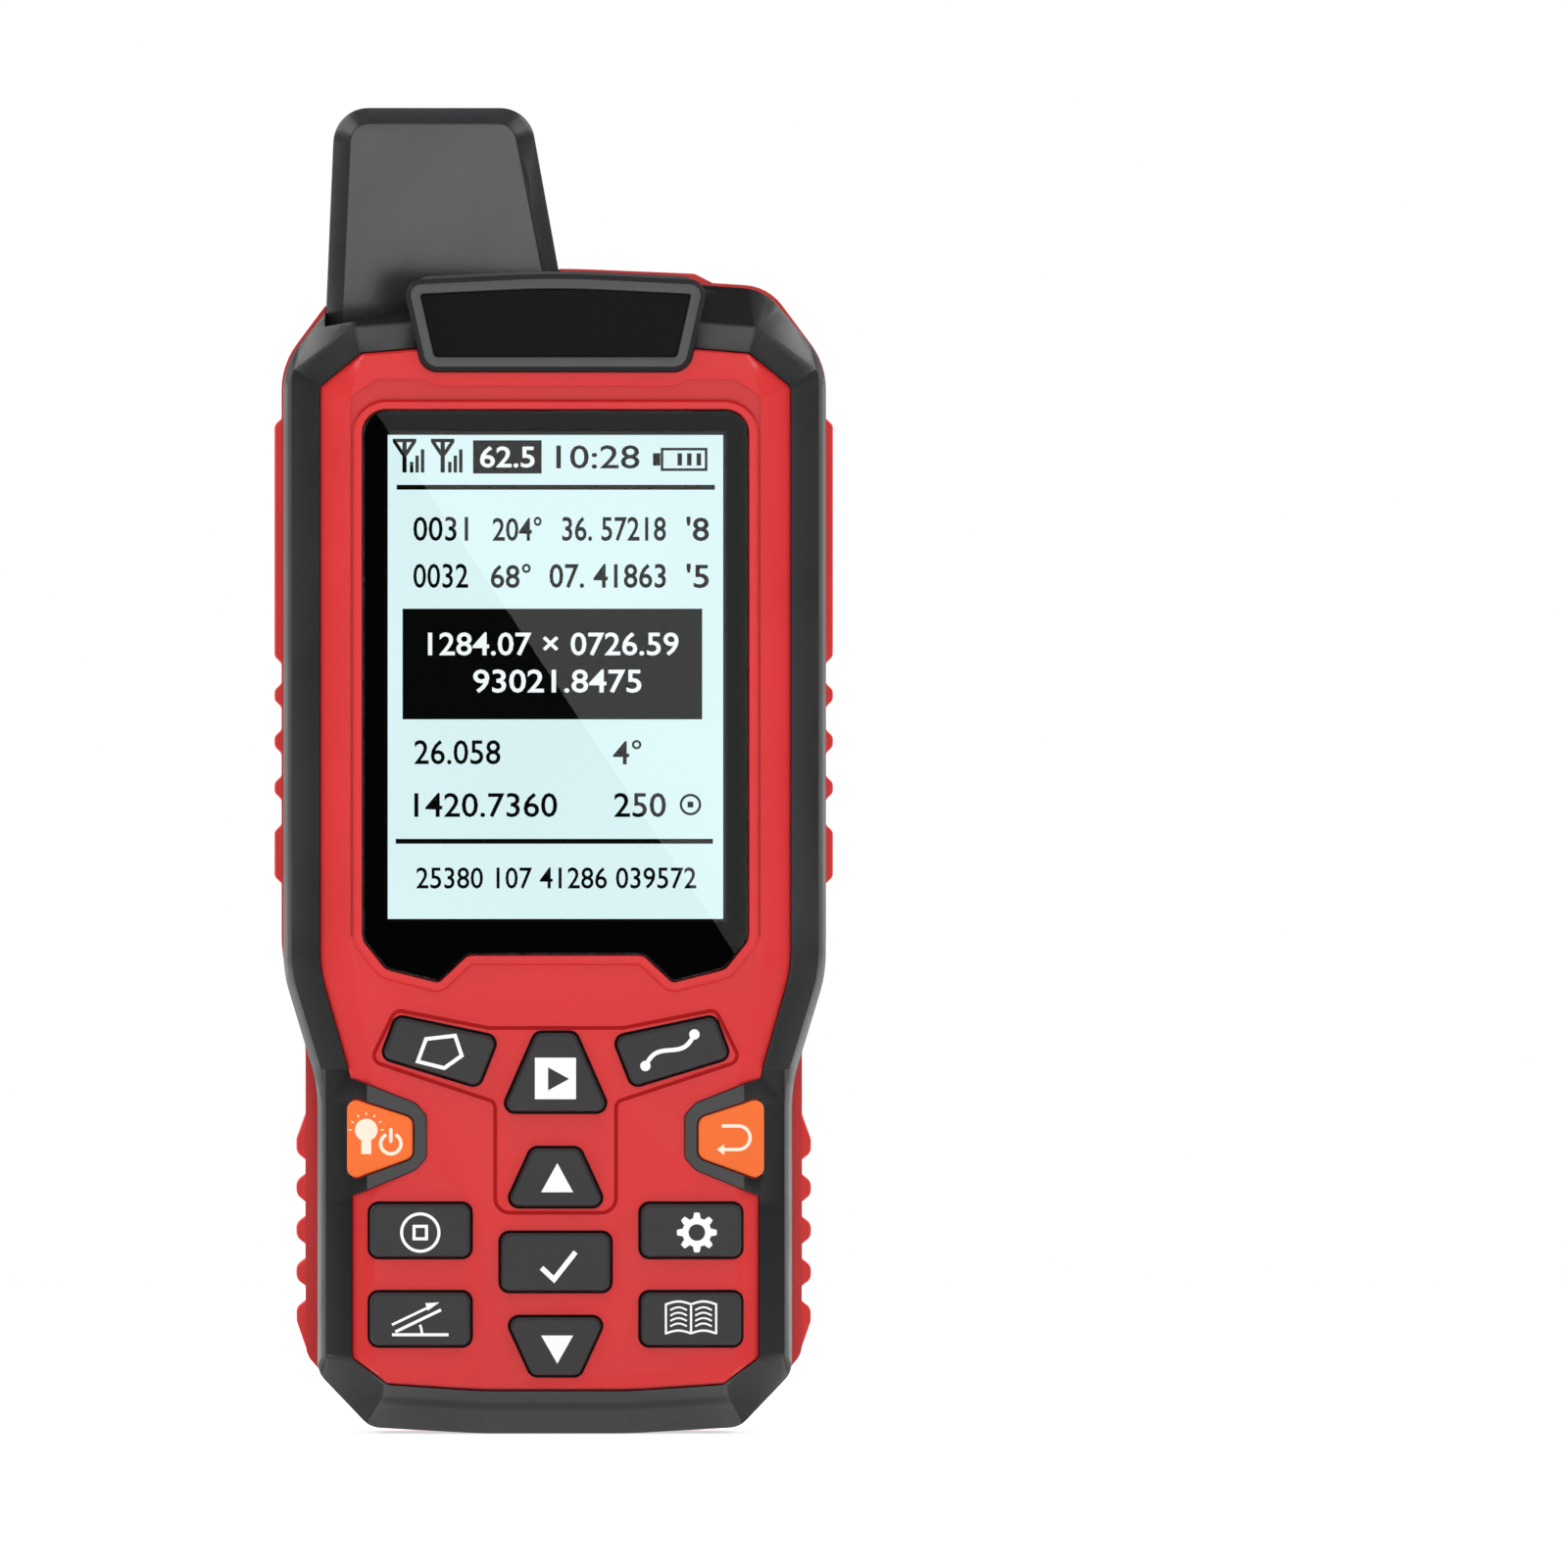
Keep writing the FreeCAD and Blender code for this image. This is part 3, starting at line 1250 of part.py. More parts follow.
def make_antenna():
    """Paddle antenna: two shells round a ceramic patch on its own board."""
    split = -D.antenna_split
    bevel_start = D.antenna_front - D.antenna_bevel_depth
    front = Piece("antenna_front_shell")
    front.pad(split, bevel_start, antenna_outline())
    front.loft((bevel_start, antenna_outline()), (D.antenna_front, antenna_outline(D.antenna_bevel)))
    front.cut(split, D.antenna_front - D.antenna_wall, antenna_outline(D.antenna_bevel, D.antenna_wall))
    rear = Piece("antenna_rear_shell")
    bevel_end = -D.antenna_back + D.antenna_bevel_depth
    rear.pad(bevel_end, split - D.fit_gap, antenna_outline())
    rear.loft((-D.antenna_back, antenna_outline(D.antenna_bevel)), (bevel_end, antenna_outline()))
    rear.cut(-D.antenna_back + D.antenna_wall, split - D.fit_gap,
             antenna_outline(D.antenna_bevel, D.antenna_wall))
    left = -D.antenna_board_x - D.antenna_board_half
    right = -D.antenna_board_x + D.antenna_board_half
    foot = D.antenna_board_z - D.antenna_board_half
    top = D.antenna_board_z + D.antenna_board_half
    board_back = size(0)
    posts = [(left + D.post_inset, foot + D.post_inset), (right - D.post_inset, foot + D.post_inset),
             (-D.antenna_board_x, top - D.post_inset)]
    rear.pad(-D.antenna_back + D.antenna_wall / 2, board_back, circles=rounds(posts, D.board_boss_radius))
    rear.cut(D.antenna_seat, D.antenna_seat + D.antenna_wall, plane="XY",
             circles=[(-D.cable_x, D.cable_back, D.cable_radius + D.cable_gap)])
    board_front = board_back + D.antenna_board_thickness
    Piece("antenna_board").pad(board_back, board_front, box(left, right, foot, top))
    patch = square(-D.antenna_board_x, D.antenna_board_z, D.patch_half)
    Piece("patch_antenna").pad(board_front, board_front + D.patch_thickness, patch)
    x = -D.cable_x
    plug = box(x - D.plug_half, x + D.plug_half, D.cable_upper_end, D.cable_upper_end + D.plug_half * 2)
    Piece("antenna_plug").pad(-D.cable_back - D.plug_half, board_back, plug)
    module_back = BOARD_BACK - D.module_thickness
    low_plug = box(x - D.plug_half, x + D.plug_half, D.cable_lower_end - D.plug_half * 2, D.cable_lower_end)
    Piece("module_plug").pad(module_back - D.plug_depth, module_back, low_plug)
    cable_front = module_back - D.plug_depth / 2
    cable = Piece("antenna_cable")
    circle = cable.drawn("XY", D.cable_upper_end, [], [(x, D.cable_back, D.cable_radius)])
    path = cable.sketch("YZ", x)
    drawing = Drawing(path)
    drawing.outline([corner(D.cable_back, D.cable_upper_end),
                     corner(D.cable_back, D.cable_upper_bend, D.cable_round),
                     corner(-cable_front, D.cable_lower_bend, D.cable_round),
                     corner(-cable_front, D.cable_lower_end)], closed=False)
    drawing.finish()
    cable.feature("AdditivePipe", Profile=circle, Spine=path)


# Battery, charging port and screws

DOOR_RIDGES = 5


def make_battery():
    """Battery pack in its bay, its contacts, its pad and the sliding door."""
    half = D.bay_half - D.battery_gap
    top = D.bay_top - D.contact_thickness - D.stack_gap
    pack = Piece("battery_pack")
    pack.pad(BATTERY_BACK, BATTERY_FRONT, box(-half, half, D.bay_foot + D.battery_gap, top, D.battery_round))
    blades = []
    for number in (-1, 0, 1):
        x = D.contact_pitch * number
        blades.append(box(x - D.contact_half, x + D.contact_half, top + D.stack_gap / 2, D.bay_top))
    Piece("battery_contacts").pad(BATTERY_FRONT - D.battery_thickness / 2, BATTERY_FRONT, *blades)
    Piece("battery_pad").pad(PAD_BACK, BATTERY_BACK, square(0, D.pad_z, D.pad_half, D.pad_round))
    door = Piece("battery_door")
    door.loft(*REAR_TAPER)
    door.cut(TONGUE_FRONT, -D.rear_straight, grown(rear_outline(), D.overcut))
    door.cut(DOOR_INSIDE, TONGUE_FRONT, around_door(D.tongue_reach))
    door.cut(-D.back_depth, DOOR_INSIDE, around_door(0))
    ridges = []
    for number in range(DOOR_RIDGES):
        foot = D.ridge_foot + D.ridge_pitch * number
        ridges.append(box(-D.ridge_half, D.ridge_half, foot, foot + D.ridge_width))
    door.cut(-D.back_depth, -D.back_depth + D.ridge_depth, *ridges)


def make_port():
    """Charging socket on the main board and the rubber cover in the foot of the frame."""
    socket = Piece("usb_socket")
    foot = D.socket_end
    front = BOARD_BACK
    back = BOARD_BACK - D.socket_height
    socket.pad(back, front, box(-D.socket_half, D.socket_half, foot, foot + D.socket_length))
    mouth = grown(box(-D.socket_half, D.socket_half, -front, -back), -D.socket_wall)
    for bend in mouth:
        bend.r = D.socket_round
    socket.cut(foot, foot + D.socket_length - D.socket_back, mouth, plane="XY")
    middle = -(front + back) / 2
    blade = box(-D.blade_half, D.blade_half, middle - D.blade_thickness / 2, middle + D.blade_thickness / 2)
    socket.pad(foot + D.blade_inset, foot + D.socket_length - D.blade_inset, blade, plane="XY")
    cover = Piece("port_cover")
    half = D.port_half - D.cover_gap
    plate = box(-half, half, -D.port_front + D.cover_gap, -D.port_back - D.fit_gap, D.cover_round)
    cover.pad(D.cover_sink, D.cover_sink + D.cover_thickness, plate, plane="XY")
    stub = box(-half + D.stub_inset, half - D.stub_inset,
               middle - D.stub_half, middle + D.stub_half, D.cover_round)
    cover.pad(D.cover_sink + D.cover_thickness, D.cover_sink + D.cover_thickness * 2, stub, plane="XY")


def cross_slots(places, reach, half):
    """Two crossed slots at every place, as four thin rectangles per screw."""
    slots = []
    for x, z in places:
        slots.append(box(x - reach, x + reach, z - half, z + half))
        slots.append(box(x - half, x + half, z + half, z + reach))
        slots.append(box(x - half, x + half, z - reach, z - half))
    return slots


def make_screws():
    """Case screws from the back into the front housing, and the four board screws."""
    case = Piece("case_screws")
    head_back = -D.screw_seat - D.screw_head_height
    case.pad(head_back, -D.screw_seat, circles=rounds(SCREWS, D.screw_head))
    case.pad(-D.screw_seat, D.screw_reach - D.stack_gap, circles=rounds(SCREWS, D.screw_radius))
    case.cut(head_back, head_back + D.slot_depth, *cross_slots(SCREWS, D.slot_reach, D.slot_half))
    board = Piece("board_screws")
    board.pad(BOARD_BACK - D.board_screw_head_height, BOARD_BACK,
              circles=rounds(BOARD_SCREWS, D.board_screw_head))
    board.pad(BOARD_BACK, D.board_front + D.board_screw_reach - D.stack_gap,
              circles=rounds(BOARD_SCREWS, D.board_screw_radius))


def write_parts():
    """Checks every object and every sub-part's shape, then writes one STEP file per sub-part."""
    DOC.recompute()
    failed = [o.Name for o in DOC.Objects if "Invalid" in o.State or "Error" in o.State]
    if failed:
        raise RuntimeError(f"these objects failed: {failed}")
    for piece in PIECES:
        if piece.body.Shape.isNull() or not piece.body.Shape.isValid():
            raise RuntimeError(f"{piece.name} has no valid shape")
    os.makedirs("parts", exist_ok=True)
    for piece in PIECES:
        shape = piece.body.Shape
        shape.exportStep(os.path.join("parts", piece.name + ".step"))
        reach = shape.BoundBox
        print(f"{piece.name}: {len(shape.Solids)} solid(s), {shape.Volume:.1f} mm3, "
              f"X {reach.XMin:.2f} {reach.XMax:.2f}, Y {reach.YMin:.2f} {reach.YMax:.2f}, "
              f"Z {reach.ZMin:.2f} {reach.ZMax:.2f}")


make_front_housing()
make_frame()
make_rear_housing()
make_case_gasket()
make_grips()
make_hood()
make_display()
make_boards()
make_keypad()
make_board_parts()
make_antenna()
make_battery()
make_port()
make_screws()
write_parts()
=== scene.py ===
# %% [markdown]
# A handheld land area meter
#
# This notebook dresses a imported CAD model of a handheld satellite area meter: a red and
# grey case, twelve keys, a backlit display, a paddle antenna and a sliding battery door.
# The CAD nodes give every size and place. Nothing here moves them: each cell either
# gives a node a finish, or builds a finer piece exactly where the node already is.

import json
import math

import bmesh
import bpy
import numpy as np
from mathutils.geometry import convex_hull_2d
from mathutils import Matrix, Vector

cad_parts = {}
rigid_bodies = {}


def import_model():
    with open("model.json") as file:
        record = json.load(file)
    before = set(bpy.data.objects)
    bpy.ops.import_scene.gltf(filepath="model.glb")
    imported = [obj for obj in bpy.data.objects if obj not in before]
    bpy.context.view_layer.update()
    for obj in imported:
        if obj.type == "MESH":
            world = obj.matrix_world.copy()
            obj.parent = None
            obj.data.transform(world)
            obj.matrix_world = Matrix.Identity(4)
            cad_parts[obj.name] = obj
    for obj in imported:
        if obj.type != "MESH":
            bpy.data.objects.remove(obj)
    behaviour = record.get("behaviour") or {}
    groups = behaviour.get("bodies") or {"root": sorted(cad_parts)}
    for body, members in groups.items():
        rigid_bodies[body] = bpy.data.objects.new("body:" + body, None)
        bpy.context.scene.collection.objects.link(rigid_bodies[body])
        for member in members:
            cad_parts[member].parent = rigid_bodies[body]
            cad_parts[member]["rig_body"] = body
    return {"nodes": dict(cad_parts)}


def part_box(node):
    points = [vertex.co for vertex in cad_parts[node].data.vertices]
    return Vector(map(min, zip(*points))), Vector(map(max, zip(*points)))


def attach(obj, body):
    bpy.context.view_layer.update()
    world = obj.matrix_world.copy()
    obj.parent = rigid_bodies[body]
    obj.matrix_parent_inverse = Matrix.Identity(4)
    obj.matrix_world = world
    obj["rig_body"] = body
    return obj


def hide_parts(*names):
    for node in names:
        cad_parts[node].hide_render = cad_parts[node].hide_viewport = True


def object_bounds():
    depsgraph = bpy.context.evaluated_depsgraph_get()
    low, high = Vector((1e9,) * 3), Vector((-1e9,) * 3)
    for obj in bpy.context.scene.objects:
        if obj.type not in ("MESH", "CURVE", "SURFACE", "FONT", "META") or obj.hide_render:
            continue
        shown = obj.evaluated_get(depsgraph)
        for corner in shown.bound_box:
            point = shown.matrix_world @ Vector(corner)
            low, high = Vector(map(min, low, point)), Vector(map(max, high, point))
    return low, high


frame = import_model()
NODES = frame["nodes"]
cad_low, cad_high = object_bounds()
print("CAD box in millimetres:", [round(1000 * side, 1) for side in cad_high - cad_low])

# %% [markdown]
# Measures
#
# Blender works in metres and the object was drawn in millimetres, so one helper turns
# millimetres into metres. Depth is written as a front value, in millimetres towards the
# display side, because that is how a case designer speaks of it: a front value of 5 lies
# at Y = -0.005. The photograph is 1600 pixels wide and one pixel is 0.118 mm on the
# object, so its places turn into millimetres with one rule.

# %% Millimetres, depths and photograph places
MM = 0.001
PIXEL = 0.118
PICTURE_WIDTH = 1600 * PIXEL
MIDDLE_COLUMN = 567
FOOT_ROW = 1464


def spot(column, row):
    """Millimetres right of the middle and above the foot, for a place in the photograph."""
    return np.array([(column - MIDDLE_COLUMN) * PIXEL, (FOOT_ROW - row) * PIXEL])


def front_of(node):
    """The front value of a node's foremost point, in millimetres."""
    return -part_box(node)[0].y / MM


def back_of(node):
    """The front value of a node's rearmost point, in millimetres."""
    return -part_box(node)[1].y / MM


def middle_of(node):
    """The middle of a node's box seen from the front, as (x, z) in millimetres."""
    low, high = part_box(node)
    return np.array([low.x + high.x, low.z + high.z]) / 2 / MM


print("the photograph is", round(PICTURE_WIDTH, 1), "millimetres wide at the object")

# %% [markdown]
# Camera
#
# The photograph looks straight at the display from far away: the sides hardly converge,
# and only a sliver of the rear housing shows on the left of the front half. A long lens
# four metres away, turned about one degree to the right, gives the same sliver. The
# object stands left of the middle of the picture, so the camera aims to its right.

# %% Camera
def link(name, data):
    """A new object in the scene that shows a mesh, a lamp or a camera."""
    made = bpy.data.objects.new(name, data)
    bpy.context.scene.collection.objects.link(made)
    return made


SENSOR = 36.0
CAMERA_AWAY = 4.0
CAMERA_TURN = math.radians(-1.1)
aim = spot(800, 800) * MM
target = np.array([aim[0], cad_low.y, aim[1]])

lens = bpy.data.cameras.new("camera")
lens.sensor_width = SENSOR
lens.lens = SENSOR * CAMERA_AWAY / (PICTURE_WIDTH * MM)
lens.clip_start = 0.1
lens.clip_end = 100.0
camera = link("camera", lens)
camera.location = target + CAMERA_AWAY * np.array([math.sin(CAMERA_TURN), -math.cos(CAMERA_TURN), 0])
camera.rotation_euler = (math.radians(90), 0, CAMERA_TURN)
bpy.context.scene.camera = camera
print("lens in millimetres:", round(lens.lens))

# %% [markdown]
# Shader helpers
#
# Most finishes below need the same few steps: a new material, a noise or a ramp read
# from object coordinates, a link. Wired one by one they would fill pages, so two small
# classes do them. Object coordinates are metres on the object itself, so a grain of
# 0.3 mm stays 0.3 mm on every piece and doesn't slide when a part moves.

# %% Helpers for shader nodes
def linear(code):
    """A web colour such as DA4140 as the linear numbers that shaders take."""
    parts = np.array([int(code[i:i + 2], 16) for i in (0, 2, 4)]) / 255
    straight = np.where(parts <= 0.04045, parts / 12.92, ((parts + 0.055) / 1.055) ** 2.4)
    return (*straight.tolist(), 1.0)


def scaled(colour, share):
    """A linear colour made lighter or darker by share."""
    return (*[min(1.0, part * share) for part in colour[:3]], 1.0)


class Tree:
    """The node tree of a world or a material, and short ways to add nodes and wire them."""

    def __init__(self, owner):
        owner.use_nodes = True
        self.nodes = owner.node_tree.nodes
        self.links = owner.node_tree.links

    def node(self, kind, *ordered, **named):
        """A new node. Its inputs take a value or another node's output, in order or by name."""
        made = self.nodes.new("ShaderNode" + kind)
        given = list(zip(made.inputs, ordered))
        given += [(made.inputs[key.replace("_", " ")], value) for key, value in named.items()]
        for socket, value in given:
            if isinstance(value, bpy.types.NodeSocket):
                self.links.new(value, socket)
            else:
                socket.default_value = value
        return made

    def math(self, operation, *values):
        """A product, a maximum or the like of values and outputs."""
        made = self.node("Math", *values)
        made.operation = operation
        return made.outputs[0]

    def times(self, first, second):
        """The product of two values or outputs."""
        return self.math("MULTIPLY", first, second)

    def axes(self, kind):
        """The x, y and z of a coordinate, such as Object or Normal, by the names X, Y and Z."""
        return self.node("SeparateXYZ", self.node("TexCoord").outputs[kind]).outputs

    def spread(self, value, low, high, start=0.35, end=0.65):
        """Stretches a value between start and end to the range from low to high."""
        return self.node("MapRange", Value=value, From_Min=start, From_Max=end,
                         To_Min=low, To_Max=high).outputs["Result"]


class Finish(Tree):
    """A material's tree with its Principled shader, and short ways to wire patterns to it."""

    def __init__(self, name):
        self.material = bpy.data.materials.new(name)
        super().__init__(self.material)
        self.shader = self.nodes["Principled BSDF"]
        self.place = self.node("TexCoord").outputs["Object"]

    def set(self, **values):
        """Sets plain numbers or colours on the shader's own sockets."""
        for key, value in values.items():
            self.shader.inputs[key.replace("_", " ")].default_value = value
        return self

    def feed(self, socket, output):
        """Wires an output to one of the shader's sockets."""
        self.links.new(output, self.shader.inputs[socket])

    def noise(self, size, detail=2.0):
        """Noise whose lumps are about size millimetres across."""
        return self.node("TexNoise", Vector=self.place, Scale=1 / (size * MM), Detail=detail).outputs["Fac"]

    def mottle(self, socket, pattern, code, share, start=0.3, end=0.7):
        """Feeds a colour that a pattern makes darker and lighter by share."""
        ramp = self.node("ValToRGB", Fac=pattern)
        stops = ((start, 1 - share), (end, 1 + share))
        for element, (place, level) in zip(ramp.color_ramp.elements, stops):
            element.position = place
            element.color = scaled(linear(code), level)
        self.feed(socket, ramp.outputs["Color"])

    def bump(self, height, depth):
        """A bump that is depth millimetres deep."""
        self.feed("Normal", self.node("Bump", Height=height, Distance=depth * MM).outputs["Normal"])


print("shader helpers ready, and a mid red is", [round(part, 3) for part in linear("CE2A2B")[:3]])

# %% [markdown]
# The studio
#
# The reference is lit like most product pictures. The background is white and shines
# along the flanks of the case, the ceiling is dark, and large soft boxes stand in front.
# So the world is plain white where the camera looks at it. Reflections see it fade from
# white behind the object to dark in front. Soft light comes from all round, a little
# less of it from the front, where the boxes stand, and from straight above.

# %% World
bpy.context.scene.view_settings.view_transform = "Standard"
WORLD_IN_FRONT = 0.85
WORLD_ELSEWHERE = 1.12
WORLD_FROM_ABOVE = 0.8
BACKDROP_IN_GLOSS = 0.9
DARK_IN_GLOSS = 0.08
GLOSS_FADE = (0.1, 0.6)
LIGHT_FADE = (-0.6, 0.1)

world = bpy.data.worlds.new("studio")
bpy.context.scene.world = world
studio = Tree(world)
studio.nodes.clear()


def white(strength):
    """White light of that strength."""
    return studio.node("Background", Color=(1, 1, 1, 1), Strength=strength).outputs[0]


way = studio.axes("Generated")
path = studio.node("LightPath").outputs
behind = studio.spread(way["Y"], DARK_IN_GLOSS, BACKDROP_IN_GLOSS, *GLOSS_FADE)
around = studio.spread(way["Y"], WORLD_IN_FRONT, WORLD_ELSEWHERE, *LIGHT_FADE)
overhead = studio.spread(way["Z"], 1.0, WORLD_FROM_ABOVE, 0.0, 1.0)
soft = white(studio.times(around, overhead))
lit = studio.node("MixShader", path["Is Glossy Ray"], soft, white(behind)).outputs[0]
shown = studio.node("MixShader", path["Is Camera Ray"], lit, white(1.0)).outputs[0]
studio.node("OutputWorld", Surface=shown)
print("the world has", len(studio.nodes), "nodes")

# %% [markdown]
# Soft boxes
#
# The display glass shows one straight reflected edge, which runs from its upper left
# corner to its lower right. A mirror sends the camera's line of sight back towards the
# camera, and it keeps spreading. So a place on the glass sees, on a plane of lamps in
# front of it, the point that lies as much further out as the lamps are far away
# compared with the camera. Two boxes side by side, with a narrow dark gap between
# them, give that edge on the glass and an even sheen on the rougher plastic. A third
# box high in front lights the upper bevels, which see nothing else, and a smaller box
# high behind each side lights the sloping shoulders and the red rim.

# %% Soft boxes
BOX_AWAY = 2.0
BOX_LONG = 1.5
BOX_WIDE = 0.85
BOX_RADIANCE = 1.75
GAP = 0.07
TOP_BOX = {"place": (0, -0.53, 1.55), "long": 1.3, "wide": 0.6, "radiance": 2.1}
RIM_BOX = {"place": (1.15, 0.45, 1.05), "long": 0.9, "wide": 0.7, "radiance": 3.9}
SHOULDERS = np.array([0, 0, 0.13])
EDGE_START = spot(385, 425) * MM
EDGE_END = spot(750, 975) * MM


def seen_in_glass(place):
    """Where the line from the camera by way of a place on the glass meets the plane of the lamps."""
    away = np.array([camera.location.x, camera.location.z])
    return place + (place - away) * BOX_AWAY / CAMERA_AWAY


def soft_box(name, centre, along, facing, length, width, radiance):
    """A rectangular lamp of even radiance whose long side runs along a direction."""
    data = bpy.data.lights.new(name, "AREA")
    data.shape = "RECTANGLE"
    data.size = length
    data.size_y = width
    data.energy = radiance * math.pi * length * width
    lamp = link(name, data)
    back = -np.array(facing) / np.linalg.norm(facing)
    side = np.array(along) / np.linalg.norm(along)
    side = side - back * (side @ back)
    side = side / np.linalg.norm(side)
    turn = np.eye(4)
    turn[:3, :4] = np.column_stack([side, np.cross(back, side), back, centre])
    lamp.matrix_world = Matrix(turn.tolist())
    lamp.visible_camera = False


start, end = seen_in_glass(EDGE_START), seen_in_glass(EDGE_END)
edge = (end - start) / np.linalg.norm(end - start)
outwards = np.array([-edge[1], edge[0]])
for name, shift in (("upper_box", BOX_WIDE / 2), ("lower_box", -GAP - BOX_WIDE / 2)):
    middle = (start + end) / 2 + outwards * shift
    soft_box(name, (middle[0], -BOX_AWAY, middle[1]), (edge[0], 0, edge[1]), (0, 1, 0),
             BOX_LONG, BOX_WIDE, BOX_RADIANCE)
for name, box, side in (("top_box", TOP_BOX, 1), ("right_rim_box", RIM_BOX, 1),
                        ("left_rim_box", RIM_BOX, -1)):
    place = np.array(box["place"]) * (side, 1, 1)
    soft_box(name, place, (1, 0, 0), SHOULDERS - place, box["long"], box["wide"], box["radiance"])
print("soft boxes:", len(bpy.data.lights))

# %% [markdown]
# Floor
#
# The object stands on a white sheet that has no visible end. Its material adds two
# things: an ordinary matte white, which takes the shadow, and a glow that only the
# camera and reflections see. The camera's share lifts the sheet to the white of the
# background. The share in reflections brightens the lower bevels of the case, and it
# fades out in front of the foot, so that the keys don't turn pale.

# %% Floor
FLOOR_HALF = 1.2
FLOOR_GLOW = 0.6
FLOOR_GLOW_IN_GLOSS = 0.75
FLOOR_FADE = 0.08
floor_mesh = bpy.data.meshes.new("floor")
corners = np.array([(-1, -1, 0), (1, -1, 0), (1, 1, 0), (-1, 1, 0)]) * FLOOR_HALF
floor_mesh.from_pydata(corners.tolist(), [], [(0, 1, 2, 3)])
link("floor", floor_mesh)
paper = Finish("pale_floor").set(Base_Color=(0.8, 0.8, 0.8, 1), Roughness=0.9, Specular_IOR_Level=0.0)
path = paper.node("LightPath").outputs
for_camera = paper.times(path["Is Camera Ray"], FLOOR_GLOW)
behind_foot = paper.spread(paper.axes("Object")["Y"], FLOOR_GLOW / 2, FLOOR_GLOW_IN_GLOSS, -FLOOR_FADE, 0.0)
strength = paper.math("MULTIPLY_ADD", path["Is Glossy Ray"], behind_foot, for_camera)
glow = paper.node("Emission", Color=(1, 1, 1, 1), Strength=strength).outputs[0]
both = paper.node("AddShader", paper.shader.outputs[0], glow).outputs[0]
paper.links.new(both, paper.nodes["Material Output"].inputs["Surface"])
floor_mesh.materials.append(paper.material)
print("floor in metres:", 2 * FLOOR_HALF)

# %% [markdown]
# Moulded plastic
#
# Both colours of the case are injection moulded. The tool's cavity is spark eroded, so
# the skin has a fine grain of about a third of a millimetre that breaks up reflections.
# Two noises do this: a fine one drives a very shallow bump, and a broad one changes the
# colour and the roughness a little, as handling does.
#
# The grain is coarser where a tool slides off the moulding, so slopes shine less than
# faces that look forwards. The antenna and the hood use a mask from the normal for
# this. On the frame, masks from the normal, the depth and the height say how much each
# slope shines, and the same masks paint shade into its colour: the slopes behind the
# crease and the inner side slopes are painted darker, the inner ones most below the
# waist, and a soft painted shadow line runs along the foot crease.

# %% Moulded plastic
def grained(name, colour, rough, shine=0.5, grain=0.35, depth=0.004, mottle=0.04):
    """A finish with a spark eroded grain of grain millimetres and depth millimetres."""
    made = Finish(name).set(Specular_IOR_Level=shine)
    broad = made.noise(14, detail=3.0)
    made.mottle("Base Color", broad, colour, mottle)
    made.feed("Roughness", made.spread(broad, rough - 0.04, rough + 0.04))
    made.bump(made.noise(grain), depth)
    return made


def moulded(*arguments, **options):
    """The material of a grained finish."""
    return grained(*arguments, **options).material


LOOKS_FORWARDS = (0.82, 0.96)


def dull_slopes(made, shine, dull):
    """Shine on faces that look forwards or backwards and a duller one on the rest."""
    forwards = made.math("ABSOLUTE", made.axes("Normal")["Y"])
    made.feed("Specular IOR Level", made.spread(forwards, dull, shine, *LOOKS_FORWARDS))
    return made.material


def within(made, value, start, full, end, gone):
    """A mask that rises between start and full and falls between end and gone."""
    return made.times(made.spread(value, 0, 1, start, full), made.spread(value, 1, 0, end, gone))


OUTER_SIDE = (0.68, 0.76, 0.97, 1.0)
INNER_SIDE = (0.4, 0.46, 0.7, 0.9)
FOOT_SLOPE = (-0.9, -0.8, -0.7, -0.5)
# How dull, and how dark the painted shade is, on the inner side slope above and below the waist and along the
# foot crease.
DULL_SHADE_ABOVE_WAIST = 0.3
DULL_SHADE_BELOW_WAIST = 0.74
WAIST_FADE = 8
DULL_SHADE_FOOT_LINE = 0.4
FOOT_LINE = (-1.0, -0.6, 0.0, 0.4)
SOFT_CREASE = 0.3


def dull_and_shade_frame_slopes(made, shine, dull, crease, waist):
    """Shine all over except where a mask says how dull a slope is.

    Behind the crease the side slope and the top slope are fully dull and painted darker
    as shade. In front of it the side slope is a little dull and painted a little darker
    above the waist, and most so below it. The foot slope has one soft painted shadow line
    along the crease. The mask is the largest of these, and it also mixes the colour
    towards near black as painted shade.
    """
    facing, place = made.axes("Normal"), made.axes("Object")
    sideways, upwards = made.math("ABSOLUTE", facing["X"]), facing["Z"]
    behind_crease = made.spread(place["Y"], 0, 1, (-SOFT_CREASE - crease) * MM, -crease * MM)
    side = within(made, sideways, *OUTER_SIDE)
    top = made.times(made.spread(upwards, 0, 1, 0.5, 0.58), made.spread(sideways, 1, 0, 0.1, 0.4))
    outer = made.times(behind_crease, made.math("MAXIMUM", side, top))
    share = made.spread(place["Z"], DULL_SHADE_BELOW_WAIST, DULL_SHADE_ABOVE_WAIST, waist * MM, (waist + WAIST_FADE) * MM)
    inner = made.times(within(made, sideways, *INNER_SIDE), share)
    at_crease = within(made, place["Y"], *[(depth - crease) * MM for depth in FOOT_LINE])
    foot = made.times(within(made, upwards, *FOOT_SLOPE), made.times(at_crease, DULL_SHADE_FOOT_LINE))
    mask = made.math("MAXIMUM", outer, made.math("MAXIMUM", inner, foot))
    made.feed("Specular IOR Level", made.spread(mask, shine, dull, 0, 1))
    plain = made.shader.inputs["Base Color"].links[0].from_socket
    # Painted shade: where the mask is high, the frame's colour is mixed towards near black.
    darker = made.node("MixRGB", Fac=mask, Color1=plain, Color2=linear("19191A"))
    made.feed("Base Color", darker.outputs["Color"])
    return made.material


